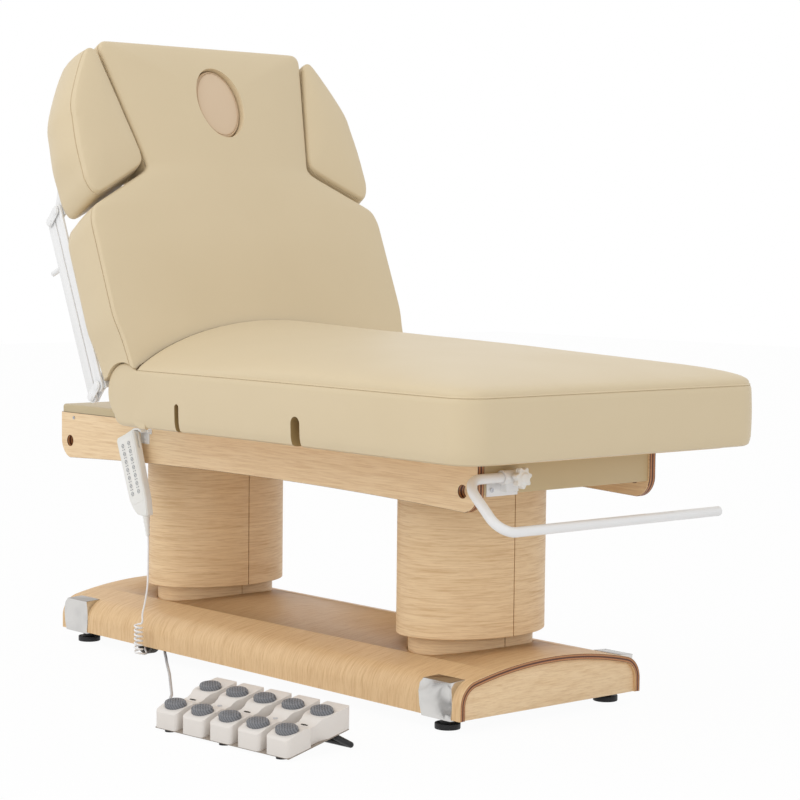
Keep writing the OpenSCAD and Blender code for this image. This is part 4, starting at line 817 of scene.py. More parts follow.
def arch(offset, low, fine=1):
    """Section of the bent base from the +Y lower edge over the crown to the -Y one."""
    sy = BASE_HW - SHOULDER
    half = sy + 10
    big = (half * half + RISE * RISE) / (2 * RISE)
    cz = BASE_TOP - big
    sz = cz + math.sqrt((big - SHOULDER) ** 2 - sy * sy)
    lean = math.degrees(math.atan(sy / (sz - cz)))

    line = [(BASE_HW + offset, low)]
    line += arc(sy, sz, SHOULDER + offset, 0, 90 - lean, 8 * fine)
    line += arc(0, cz, big + offset, 90 - lean, 90 + lean, 14 * fine)[1:-1]
    line += arc(-sy, sz, SHOULDER + offset, 90 + lean, 180, 8 * fine)
    line += [(-BASE_HW - offset, low)]
    return np.array(line)


def set_edge_uv(obj, slot_index, across):
    """UV map for the layered edge: U along the strip in metres, V across the thickness from 0 to 1."""
    mesh = obj.data
    layer = mesh.uv_layers.new(name="Edge")
    for poly in mesh.polygons:
        for loop in poly.loop_indices:
            p = mesh.vertices[mesh.loops[loop].vertex_index].co
            layer.data[loop].uv = across(p) if poly.material_index == slot_index else (p.x, p.y)


class BED_OT_base(bpy.types.Operator):
    """Bent veneered base, its layered edges, end panels, polished caps and levelling feet"""

    bl_idname = "spa_bed.base"
    bl_label = "Base"

    def execute(self, context):
        wall = context.scene.bed_timber.shell_thickness * 1000.0
        outer, inner = arch(0, BASE_Z, 3), arch(-wall, BASE_Z, 3)
        n = len(outer)
        soft = 0.7
        mid_out, mid_in = arch(-soft, BASE_Z + soft, 3), arch(-wall + soft, BASE_Z + soft, 3)
        rings = [(BASE_X0, mid_in), (BASE_X0, mid_out), (BASE_X0 + soft, outer), (BASE_X1 - soft, outer),
                 (BASE_X1, mid_out), (BASE_X1, mid_in), (BASE_X1 - soft, inner), (BASE_X0 + soft, inner)]
        spots = [(x, y, z) for x, ring in rings for y, z in ring]
        # the strips across the two cut ends show the layers
        kinds = [int(k in (0, 4)) for k in range(len(rings)) for _ in range(n - 1)] + [1, 1]
        shell = piece("base-shell", spots, strip(len(rings), n), ("base_oak", "ply"), 30.0, kinds)
        for x, _, _ in COLUMNS:
            crown = oval(INNER_A + 3.0, INNER_B + 3.0, 96)
            carve(shell, [(x + a, b, z) for z in (70.0, 200.0) for a, b in crown])
        steps = arc_length(outer) / 1000.0

        def across(p):
            y, z = p.y * 1000.0 + MID_Y, p.z * 1000.0
            gap = np.hypot(outer[:, 0] - y, outer[:, 1] - z)
            k = int(gap.argmin())
            away = min(gap[k], wall)
            return (float(steps[k]), float(away / wall))

        set_edge_uv(shell, 1, across)
        finish_piece(shell, "base", ("base_shell",))

        softened("base_end_panels", "base", "panel_oak", 0.0006)
        softened("corner_caps", "base", "polished", 0.0012, segments=3)
        for i in range(1, 5):
            softened(f"level_foot_{i}", f"foot_{i}", "black_rubber", 0.0015, segments=3)
        dress("base_frame", "frame_paint")
        softened("control_box", "base", "dark", 0.0012)
        grown("plug-ribs", rib_tree(), [(PLUG[0], -212.0, PLUG[2]), (PLUG[0], -232.0, PLUG[2])], "base",
              {"Count": 5, "First radius": 0.0346, "Last radius": 0.0344, "Thickness": 0.0022,
               "Material": material("plug_grey")}, [(0, 1)])
        return {"FINISHED"}


class BED_OT_columns(bpy.types.Operator):
    """Golden covers of the two lifting columns, outer and inner"""

    bl_idname = "spa_bed.columns"
    bl_label = "Column covers"

    def execute(self, context):
        for x, body, node in COLUMNS:
            outer = self.shells(node.replace("_", "-column-"), [(x, OUTER_A, OUTER_B, *OUTER_SPAN)])
            finish_piece(outer, body, (node,))
        first = self.shells("inner-covers", [(x, INNER_A, INNER_B, *INNER_SPAN) for x, _, _ in COLUMNS])
        finish_piece(first, "base", ("inner_covers",))
        for node in ("fixed_tubes", "foot_tube", "head_tube"):
            dress(node, "steel")
        return {"FINISHED"}

    def shells(self, name, each):
        """Half covers on both sides of the middle plane, with a fine gap between them."""
        spots, faces = [], []
        wall, soft, seam, n = 9.0, 0.9, 1.3, 72
        for x, a, b, z0, z1 in each:
            rings = [(z0 + soft, 0), (z0, soft), (z0, wall - soft), (z0 + soft, wall),
                     (z1 - soft, wall), (z1, wall - soft), (z1, soft), (z1 - soft, 0)]
            for side in (-1, 1):
                faces += strip(len(rings), n + 1, len(spots))
                for z, inset in rings:
                    half = [((a - inset) * c, (b - inset) * s) for c, s in arc(0, 0, 1, 0, 180, n)]
                    spots += [(x + px, side * max(py, seam), z) for px, py in half]
        return piece(name, spots, faces, "column_oak", 30.0)


# Top frame
RAIL_X0, RAIL_X1, RAIL_TOP, RAIL_LOW, RAIL_R, RAIL_ARCH = -755.5, 704.9, 547.0, 438.0, 45.0, 14.0
RAIL_IN, RAIL_OUT = 235.1, 252.7


def rail_outline():
    """Side of a rail: straight top, rounded ends and a slightly arched lower edge."""
    out = [(RAIL_X0, RAIL_TOP)] + arc(RAIL_X0 + RAIL_R, RAIL_LOW + RAIL_R, RAIL_R, 180, 258, 18)
    n = 60
    for i in range(1, n):
        t = i / n
        x = RAIL_X0 + RAIL_R + 20 + (RAIL_X1 - RAIL_X0 - 2 * RAIL_R - 40) * t
        out.append((x, RAIL_LOW + 2 + RAIL_ARCH * (1 - abs(2 * t - 1) ** 2.2)))
    return out + arc(RAIL_X1 - RAIL_R, RAIL_LOW + RAIL_R, RAIL_R, 282, 360, 18) + [(RAIL_X1, RAIL_TOP)]


class BED_OT_top_frame(bpy.types.Operator):
    """Oak side rails with layered edges, upholstered end panels and deck, and the frame between"""

    bl_idname = "spa_bed.top_frame"
    bl_label = "Top frame"

    def execute(self, context):
        line = rail_outline()
        n = len(line)
        soft = 0.6
        levels = [(RAIL_IN, soft), (RAIL_IN + soft, 0.0), (RAIL_OUT - soft, 0.0), (RAIL_OUT, soft)]
        centre = np.array([(RAIL_X0 + RAIL_X1) / 2, 520.0])
        spots, faces, kinds = [], [], []
        for side in (-1, 1):
            faces += barrel(len(levels), n, len(spots))
            kinds += [1] * (3 * n) + [0, 0]
            for y, inset in levels:
                for p in line:
                    v = np.array(p) - centre
                    q = np.array(p) - inset * np.sign(v) * np.array([abs(v[0]) > 660, 1.0])
                    spots.append((q[0], side * y, q[1]))
        rails = piece("side-rails", spots, faces, ("rail_oak", "ply"), 30.0, kinds)
        for x in (RAIL_X0 + 37.0, RAIL_X1 - 43.0):
            for y in (-244.0, 244.0):
                ring = oval(13.5, 13.5, 36)
                carve(rails, [(x + a, y + d, 479.5 + b) for d in (-14.0, 14.0) for a, b in ring])
        self.paint_edges(rails)
        finish_piece(rails, "top", ("side_rails",))
        softened("top_end_panels", "top", "panel_vinyl", 0.0015)
        softened("deck", "top", "deck_vinyl", 0.0015)
        dress("top_frame", "frame_paint")
        softened("hinge_brackets", "top", "paint", 0.001)
        grown("rail-screws", bolt_tree(), [(-702.0, -253.4, 535.0)], "top",
              {"Radius": 0.004, "Height": 0.0016, "Turn": (math.pi / 2, 0, 0), "Material": material("steel")})
        dress("seat_board", "board")
        return {"FINISHED"}

    def paint_edges(self, obj):
        """Layered finish on the edges of the rails, oak on their faces."""
        mesh = obj.data
        for poly in mesh.polygons:
            poly.material_index = 0 if abs(poly.normal.y) > 0.8 else 1

        def across(p):
            y = abs(p.y * 1000.0 + MID_Y)
            return (p.x + 0.4 * p.z, (y - RAIL_IN) / (RAIL_OUT - RAIL_IN))

        set_edge_uv(obj, 1, across)
        smooth(obj, 32.0)


# Upholstery
def bow(t):
    """Height of a crowned front: 1 in the middle (t = 0), 0 at the edge (t = 1)."""
    t = np.clip(np.abs(t), 0, 1)
    return np.maximum(0, 1 - t**2.3) ** 0.7


def swell(t, k):
    """Crown across the seat: a lens at the head end (k = 0), full at the foot end (k = 1)."""
    return np.maximum(0, 1 - min(abs(t), 1) ** (2 + 0.5 * k)) ** (0.85 - 0.45 * k)


def ease(t):
    """Smooth step from 0 to 1."""
    t = np.clip(t, 0, 1)
    return t * t * (3 - 2 * t)


def pucker(s, seed):
    """Uneven soft pulls along a seam, from its length in millimetres."""
    rng = np.random.RandomState(seed)
    out = np.zeros_like(s)
    for wave in (19.0, 27.0, 41.0, 66.0, 97.0):
        out += rng.uniform(0.5, 1.0) * np.sin(2 * np.pi * s / wave + rng.uniform(0, 6.28))
    return out / 3.2


def seam_sizes():
    """Depth of the seam groove and height of the pucker in millimetres."""
    soft = bpy.context.scene.bed_cushions
    return soft.seam_depth * 1000.0, soft.pucker * 1000.0


def arc_length(line):
    """Length along a line up to each of its points."""
    return np.concatenate([[0], np.cumsum(np.linalg.norm(np.diff(line, axis=0), axis=1))])


def skin(name, grid, finish, closed=False, recess=None, angle=45.0):
    """Mesh from a grid of columns along the edge and rows from the underside to the middle of the front."""
    t, v = grid.shape[:2]
    faces = []
    for i in range(t if closed else t - 1):
        j = (i + 1) % t
        for k in range(v - 1):
            faces.append((i * v + k, j * v + k, j * v + k + 1, i * v + k + 1))
    if closed:
        faces.append(tuple(i * v for i in range(t - 1, -1, -1)))
    else:
        for i in range(t // 2):
            j = t - 1 - i
            if j - i > 1:
                faces.append((i * v, j * v, (j - 1) * v, (i + 1) * v))
        last = (t - 1) * v
        k = recess
        faces.append(tuple(range(0, k + 1)))
        faces.append(tuple(last + q for q in range(k, -1, -1)))
        faces.append((k + 1, k, 0, last, last + k, last + k + 1))
        for q in range(k + 1, v - 1):
            faces.append((q, last + q, last + q + 1, q + 1))
    return piece(name, grid.reshape(-1, 3), faces, finish, angle)


def placed_copies(tree, start, end, points, shape, turn, scale=None):
    """Copies of a shape on points, made real and painted with the tree's material input."""
    values = {"Points": points, "Instance": shape, "Rotation": turn}
    if scale is not None:
        values["Scale"] = scale
    copies = put(tree, "GeometryNodeInstanceOnPoints", values)
    real = put(tree, "GeometryNodeRealizeInstances", {"Geometry": copies.outputs[0]})
    painted = put(tree, "GeometryNodeSetMaterial",
                  {"Geometry": real.outputs[0], "Material": start.outputs["Material"]})
    tree.links.new(painted.outputs[0], end.inputs["Geometry"])
    return tree


def grow_tree(name, inputs):
    """A Geometry Nodes tree with geometry in and out, a material and other inputs."""
    sockets = [("Geometry", GEO, None)] + inputs + [("Material", MAT, None)]
    return group_tree(name, sockets, [("Geometry", GEO)], "GeometryNodeTree")


def steps_along(tree, start, mode, values):
    """Points along the incoming line and the turn that lays Z along it."""
    line = put(tree, "GeometryNodeMeshToCurve", {"Mesh": start.outputs["Geometry"]})
    points = put(tree, "GeometryNodeCurveToPoints", {"Curve": line.outputs[0], **values}, mode=mode).outputs
    turn = put(tree, "FunctionNodeAlignRotationToVector", {"Vector": points["Tangent"]}, axis="Z")
    return points["Points"], turn.outputs[0]


def scale_of(tree, x, y, z):
    """Three values as one vector."""
    return put(tree, "ShaderNodeCombineXYZ", {"X": x, "Y": y, "Z": z}).outputs[0]


@named("Stitch row")
def stitch_tree(name):
    """Geometry Nodes: thread stitches set along a line of edges."""
    inputs = [("Pitch", F, 0.0046), ("Stitch length", F, 0.0032), ("Thread thickness", F, 0.0005)]
    tree, start, end = grow_tree(name, inputs)
    points, turn = steps_along(tree, start, "LENGTH", {"Length": start.outputs["Pitch"]})
    thread = put(tree, "GeometryNodeMeshUVSphere", {"Segments": 6, "Rings": 4, "Radius": 1.0}).outputs["Mesh"]
    thick = start.outputs["Thread thickness"]
    size = scale_of(tree, thick, thick, times(tree, start.outputs["Stitch length"], 0.5))
    return placed_copies(tree, start, end, points, thread, turn, size)


@named("Printed mark")
def print_tree(name):
    """Geometry Nodes: a flat printed ring with a bar across it on every point."""
    tree, start, end = grow_tree(name, [
        ("Ring radius", F, 0.0042), ("Line width", F, 0.0014), ("Bar length", F, 0.006), ("Thickness", F, 0.0003),
        ("Turn", V, None),
    ])
    width = start.outputs["Line width"]
    circle = put(tree, "GeometryNodeCurvePrimitiveCircle", {"Resolution": 14, "Radius": start.outputs["Ring radius"]})
    section = put(tree, "GeometryNodeCurvePrimitiveCircle", {"Resolution": 4, "Radius": times(tree, width, 0.5)})
    ring = put(tree, "GeometryNodeCurveToMesh", {"Curve": circle.outputs[0], "Profile Curve": section.outputs[0]})
    flat = put(tree, "GeometryNodeTransform", {"Geometry": ring.outputs[0], "Scale": (1.0, 1.0, 0.3)})
    size = scale_of(tree, start.outputs["Bar length"], width, start.outputs["Thickness"])
    bar = put(tree, "GeometryNodeMeshCube", {"Size": size})
    both = put(tree, "GeometryNodeJoinGeometry")
    for part in (flat.outputs[0], bar.outputs["Mesh"]):
        tree.links.new(part, both.inputs[0])
    return placed_copies(tree, start, end, start.outputs["Geometry"], both.outputs[0], start.outputs["Turn"])


@named("Rib row")
def rib_tree(name):
    """Geometry Nodes: round ribs at even steps along a line, from one radius to another."""
    tree, start, end = grow_tree(name, [
        ("Count", "NodeSocketInt", 5), ("First radius", F, 0.008), ("Last radius", F, 0.004), ("Thickness", F, 0.003),
    ])
    points, turn = steps_along(tree, start, "COUNT", {"Count": start.outputs["Count"]})
    index = put(tree, "GeometryNodeInputIndex").outputs[0]
    last = math_node(tree, "SUBTRACT", start.outputs["Count"], 1.0)
    r = span(tree, index, 0.0, last, start.outputs["First radius"], start.outputs["Last radius"])
    size = scale_of(tree, r, r, start.outputs["Thickness"])
    drum = put(tree, "GeometryNodeMeshCylinder", {"Vertices": 28, "Radius": 1.0, "Depth": 1.0}).outputs["Mesh"]
    return placed_copies(tree, start, end, points, drum, turn, size)


@named("Bolt head")
def bolt_tree(name):
    """Geometry Nodes: a round bolt head with a six-sided recess on every point."""
    tree, start, end = grow_tree(name, [("Radius", F, 0.004), ("Height", F, 0.002), ("Turn", V, None)])
    r, high = start.outputs["Radius"], start.outputs["Height"]
    head = put(tree, "GeometryNodeMeshCylinder", {"Vertices": 24, "Radius": r, "Depth": high}).outputs["Mesh"]
    tool = put(tree, "GeometryNodeMeshCylinder", {"Vertices": 6, "Radius": times(tree, r, 0.52), "Depth": high})
    lift = scale_of(tree, 0.0, 0.0, times(tree, high, 0.45))
    raised = put(tree, "GeometryNodeTransform", {"Geometry": tool.outputs["Mesh"], "Translation": lift})
    cut = put(tree, "GeometryNodeMeshBoolean", {0: head, 1: raised.outputs[0]}, operation="DIFFERENCE")
    return placed_copies(tree, start, end, start.outputs["Geometry"], cut.outputs["Mesh"], start.outputs["Turn"])


def grown(name, tree, points, body, values, edges=(), angle=35.0):
    """A piece that a node tree grows from points of bed millimetres."""
    obj = placed(name, from_points(name, points, edges, []))
    run_tree(obj, tree, values)
    smooth(obj, angle)
    return finish_piece(obj, body)


def run_tree(obj, tree, values):
    """Runs a node tree on an object, sets its inputs by identifier and keeps the plain mesh."""
    mod = obj.modifiers.new("Build", "NODES")
    mod.node_group = tree
    sockets = [each for each in tree.interface.items_tree if each.item_type == "SOCKET" and each.in_out == "INPUT"]
    known = {each.name: each.identifier for each in sockets}
    for key, value in values.items():
        mod[known[key]] = value
    apply_all(obj)


def stitches(name, lines, body, thread="thread", thicker=1.0):
    """Sewn thread along lines of bed millimetres."""
    soft = bpy.context.scene.bed_cushions
    spots, edges = [], []
    for line in lines:
        start = len(spots)
        spots += list(line)
        edges += [(start + i, start + i + 1) for i in range(len(line) - 1)]
    values = {"Pitch": soft.stitch_pitch, "Stitch length": soft.stitch_length, "Material": material(thread)}
    values["Thread thickness"] = soft.stitch_thickness * thicker
    obj = placed(name, from_points(name, spots, edges, []))
    run_tree(obj, stitch_tree(), values)
    smooth(obj, 60.0)
    return finish_piece(obj, body)


# Seat
SEAT_X0, SEAT_X1, SEAT_HW, SEAT_LOW, SEAT_SEAM, SEAT_R = -255.1, 849.6, 400.0, 549.0, 679.0, 60.0
SEAT_FLARE = 18.0
SEAT_CROWN, CROWN_FALL = 101.0, 61.0
STRAP_SLOTS, STRAP_TOP, STRAP_Y = ((-79.0, 15.0), (331.0, 30.0)), 62.0, (368.0, 412.0)
CHEEK_R = 66.0
HINGE_X, HINGE_Z, HINGE_D, BACK_DEG = -277.6, 624.0, 56.0, 67.69
REC_Z = 560.5
# Rows of a cushion's front, as shares of the way from its middle to its edge
ROOF = [1.0, 0.9985, 0.994, 0.986, 0.974, 0.958, 0.938, 0.91, 0.875, 0.83, 0.77, 0.7, 0.61, 0.5, 0.38, 0.25, 0.12,
        0.0]


def seat_edge():
    """Seat outline from its head end on the -Y side round the foot end, with outward normals and spine points."""
    pts, nrm, spine = [], [], []
    end = SEAT_X1 - 400.0
    side_x = [SEAT_X0, SEAT_X0 + 1.8, SEAT_X0 + 4.2, SEAT_X0 + 7.4, *np.linspace(SEAT_X0 + 12.0, -40, 28),
              *np.linspace(-25, SEAT_X1 - SEAT_R, 46)]

    def mid(x):
        share = min(1, (x - 250) / (SEAT_X1 - SEAT_R - 250))
        return x if x < 250 else 250 + (end - 250) * math.sin(math.pi / 2 * share)

    wide = SEAT_HW + SEAT_FLARE
    for x in side_x:
        pts.append((x, -SEAT_HW - SEAT_FLARE * ease((x - SEAT_X0 - 400) / (SEAT_X1 - SEAT_R - SEAT_X0 - 400))))
        nrm.append((0, -1))
        spine.append((mid(x), 0))
    for a in np.linspace(-90, 0, 15)[1:]:
        c, s = math.cos(math.radians(a)), math.sin(math.radians(a))
        pts.append((SEAT_X1 - SEAT_R + SEAT_R * c, -wide + SEAT_R + SEAT_R * s))
        nrm.append((c, s))
        spine.append((end, 0))
    for y in np.linspace(-wide + SEAT_R, 0, 15)[1:]:
        pts.append((SEAT_X1, y))
        nrm.append((1, 0))
        spine.append((end, 0))
    for table, flip in ((pts, (1, -1)), (nrm, (1, -1)), (spine, (1, 1))):
        table += [(a * flip[0], b * flip[1]) for a, b in table[-2::-1]]
    return np.array(pts), np.array(nrm), np.array(spine)


def head_x(z):
    """Head face of the seat: clear of the backrest's roll, then parallel to its front."""
    cut = HINGE_D + 1.2
    lean = math.radians(BACK_DEG)
    tan_z = HINGE_Z + (HINGE_D + 3.5) * math.cos(lean)
    tan_x = HINGE_X + (HINGE_D + 3.5) * math.sin(lean)
    z = np.asarray(z, dtype=float)
    clear = np.sqrt(np.maximum(0, cut**2 - (z - HINGE_Z) ** 2)) + ease((z - HINGE_Z) / (tan_z - HINGE_Z)) * 2.4
    low = HINGE_X + np.maximum(SEAT_X0 - HINGE_X + 0.01, clear)
    front = tan_x - (z - tan_z) / math.tan(lean)
    return np.where(z >= tan_z, front, np.where(z > HINGE_Z - cut + 1, low, SEAT_X0))


class BED_OT_seat(bpy.types.Operator):
    """Seat cushion with its crowned top, sewn edge, strap slots and rounded cheeks"""

    bl_idname = "spa_bed.seat"
    bl_label = "Seat"

    def execute(self, context):
        groove, pull = seam_sizes()
        pts, nrm, spine = seat_edge()
        s = arc_length(pts)
        wave = pucker(s, 4)
        n = len(pts)
        away = ease((pts[:, 0] + 255) / 105.0)
        h = SEAT_SEAM - SEAT_LOW
        wall = [(50, REC_Z), (50, SEAT_LOW), (18, SEAT_LOW), (9, SEAT_LOW + 0.8), (3.2, SEAT_LOW + 4.2), (0.6, REC_Z)]
        wall += [(None, SEAT_LOW + f * h) for f in (0.16, 0.24, 0.34, 0.44, 0.54, 0.64, 0.74, 0.82, 0.88, 0.925)]
        wall += [(0.9, SEAT_SEAM - 7.0), (1.3, SEAT_SEAM - 5.2), (1.3 + 0.5 * groove, SEAT_SEAM - 4.1),
                 (1.5 + 0.5 * groove, SEAT_SEAM - 3.5), (1.2, SEAT_SEAM - 2.6), (2.0, SEAT_SEAM - 1.2)]
        grid = np.zeros((n, len(wall) + len(ROOF), 3))
        for k, (inset, z) in enumerate(wall):
            f = (z - SEAT_LOW) / h
            if inset is None:
                d = 0.3 * f - 2.6 * math.sin(math.pi * f) * away
            else:
                d = inset * np.ones(n)
            d = d - pull * wave * math.exp(-(((z - SEAT_SEAM + 9) / 7.0) ** 2)) * (z > 640)
            grid[:, k, :2] = pts - nrm * d[:, None]
            grid[:, k, 2] = z
        base = pts - nrm * 4.0
        for q, f in enumerate(ROOF):
            k = len(wall) + q
            xy = spine + f * (base - spine)
            crown = SEAT_CROWN - CROWN_FALL * np.clip((xy[:, 0] - SEAT_X0) / (SEAT_X1 - SEAT_X0), 0, 1)
            z = SEAT_SEAM + crown * swell(f, ease((xy[:, 0] - SEAT_X0) / 600.0))
            dist = (1 - f) * np.linalg.norm(base - spine, axis=1)
            z += pull * 1.2 * wave * np.exp(-(((dist - 9) / 8.0) ** 2))
            z -= 10.0 * np.maximum(0, 1 - (pts[:, 0] - SEAT_X0) / 12.0) ** 2 * ease(dist / 30.0)
            grid[:, k, :2] = xy
            grid[:, k, 2] = z
        shift = head_x(grid[:, :, 2]) - SEAT_X0
        near = 1 - ease((grid[:, :, 0] - SEAT_X0) / 100.0)
        grid[:, :, 0] += shift * near
        grid[:, :2, 0] -= (shift * near)[:, :2]
        seat = skin("seat-cushion", grid, ["vinyl", "crevice_shade"], recess=5)
        # the seat's faces at its head end take the dark crevice finish: painted shade of the gap to the backrest
        for face in seat.data.polygons:
            x, z = face.center.x * 1000.0 + MID_X, face.center.z * 1000.0
            if z > SEAT_SEAM - 3.0 and x - float(head_x(z)) < 9.0:
                face.material_index = 1
        for x, w in STRAP_SLOTS:
            for side in (-1, 1):
                self.slot(seat, x, w, side)
        tidy(seat, 40.0)
        finish_piece(seat, "top", ("seat_cushion",))
        self.cheeks()
        self.seam_lines(grid, len(wall))
        return {"FINISHED"}

    def slot(self, seat, x, w, side):
        """Strap slot in the side panel, round at its top."""
        line = [(-w / 2, -3.0), (w / 2, -3.0)] + arc(0, STRAP_TOP - w / 2, w / 2, 0, 180, 14)
        # the slot's walls keep the darker vinyl: painted shade inside the slot
        carve(seat, [(x + a, side * y, SEAT_LOW + b) for y in STRAP_Y for a, b in line], "lining", True)

    def cheeks(self):
        """Rounded discs beside the hinge, flush with the seat's side panel."""
        lean = math.radians(BACK_DEG)
        tx, tz = (HINGE_D - 0.5) * math.sin(lean), (HINGE_D - 0.5) * math.cos(lean)
        first = math.degrees(math.atan2(tz, tx)) + math.degrees(math.acos((HINGE_D - 0.5) / CHEEK_R))
        line = arc(0, 0, CHEEK_R, first, 226, 43)
        line += [(-45.5, -51.0), (-43.5, -56.5), (-40.5, -61.5), (-36.5, -66.0), (-31.5, -69.8), (-26.0, -72.5),
                 (-20.0, -74.2), (-14.0, -74.8)]
        line += [(0.0, -75.0), (16.0, -75.0), (34.0, -75.0)]
        line += [(58.0, -75.0), (78.0, -74.0), (78.0, -40.0), (78.0, 0.0), (66.0, 20.0), (47.0, 49.0)]
        line = np.array(line)
        n = len(line)
        out = -outward(line, closed=True)
        free = np.ones(n)
        free[-6:] = 0.0
        levels = [(376.3, 1.2), (378.0, 0.2), (384.0, 0.0), (391.0, 0.6), (396.8, 3.6), (399.3, 9.0), (399.75, 16.0)]
        round_off = np.where(line[:, 1] < -50, 1.0, 0.35)
        for side, label in ((-1, "l"), (1, "r")):
            spots = []
            for y, inset in levels:
                for p, o, g, k in zip(line, out, free, round_off):
                    q = p - o * inset * g * k
                    top = y if g else min(y, 399.5)
                    spots.append((HINGE_X + q[0], side * top, HINGE_Z + q[1]))
            obj = piece(f"seat-cheek-{label}", spots, barrel(len(levels), n), "vinyl", 50.0)
            finish_piece(obj, "top", ("seat_cheeks",) if label == "l" else ())

    def seam_lines(self, grid, first):
        """Thread along the upper seam, and a thick row of dark stitches where the seat meets the backrest, painted
        shadow of the gap between them.
        """
        line = grid[:, first - 3, :].copy()
        stitches("seat-stitches", [line], "top")
        # painted shadow: dark stitches along the seat's head edge stand in for the shade of the gap
        head = np.concatenate([grid[2, first:], grid[-3, first:][::-1]])
        head[:, 2] += 1.3
        stitches("seat-head-painted-shadow-line", [head], "top", "crevice_shade", 3.4)


# Backrest, drawn flat: x along it from the hinge to the head end (negative), z out of its front
def back_frame(points):
    """Points drawn flat on the backrest, in bed millimetres."""
    a = math.radians(BACK_DEG)
    p = np.array(points, dtype=float).reshape(-1, 3)
    x = p[:, 0] * math.cos(a) + p[:, 2] * math.sin(a) + HINGE_X
    z = -p[:, 0] * math.sin(a) + p[:, 2] * math.cos(a) + HINGE_Z
    return np.stack([x, p[:, 1], z], axis=1)


KNEE, LOW_X, BACK_HW, BACK_LEN, HEAD_R = 29.1, -70.0, 420.0, 837.0, 28.0
TOP_V, NECK_V, NECK_W = BACK_LEN - KNEE, 500.0, BACK_HW - 184.0
HEAD_W = NECK_W + 58.0
SKIRT_Z = HINGE_D - 124.0
NECK_LIFT, NECK_FROM, NECK_TO = 10.4, 426.0, 438.0
POCKET = -42.7
SPINE_V, BACK_CROWN = 520, 22.0
FACE_V, FACE_A, FACE_B, FACE_GAP = 684.0, 86.0, 62.0, 1.5


def lean_at(v):
    """Backward slope of the outline's side at a distance along the backrest."""
    return 0.17 * ease((np.asarray(v, dtype=float) + LOW_X + KNEE) / 330.0)


def back_w(v):
    """Half width of the backrest at a distance along it."""
    w = BACK_HW
    if v <= 350:
        return w - 15 * (1 - float(ease((v - 41) / 110)))
    if v <= 385:
        return w - 8 * ((v - 350) / 35) ** 2
    if v <= 402:
        return w - 8 - 14 * ((v - 385) / 17) ** 1.4
    if v <= 482:
        return w - 22 - (w - 22 - NECK_W - 14) * (v - 402) / 80
    if v <= NECK_V:
        return NECK_W + 14 * ((NECK_V - v) / 18) ** 1.6
    return NECK_W + (v - NECK_V) * (HEAD_W - NECK_W) / 280


def back_edge():
    """Outline of the backrest as (across, along), from the hinge end on the -Y side over the head end."""
    v0 = -LOW_X - KNEE
    stretches = ((v0, 120, 14), (128, 345, 24), (350, 385, 8), (387.5, 402, 7), (410, 474, 9), (482, 500, 8),
                 (512, TOP_V - HEAD_R, 26))
    half = [(back_w(v), v) for first, last, m in stretches for v in np.linspace(first, last, m)]
    for a in np.linspace(0, 90, 12)[1:]:
        v = TOP_V - HEAD_R + HEAD_R * math.sin(math.radians(a))
        half.append((back_w(v) - HEAD_R * (1 - math.cos(math.radians(a))), v))
    wide = half[-1][0]
    half += [(y, TOP_V) for y in np.linspace(wide, 0, 13)[1:]]
    half = np.array(half)
    for _ in range(2):
        half[1:-1] = 0.25 * half[:-2] + 0.5 * half[1:-1] + 0.25 * half[2:]
    left = half * [-1, 1]
    return np.concatenate([left, half[-2::-1]])


def outward(line, closed=False):
    """Outward normals of an outline."""
    if closed:
        tan = np.roll(line, -1, axis=0) - np.roll(line, 1, axis=0)
    else:
        tan = np.gradient(line, axis=0)
    tan /= np.linalg.norm(tan, axis=1)[:, None]
    return np.stack([-tan[:, 1], tan[:, 0]], axis=1)


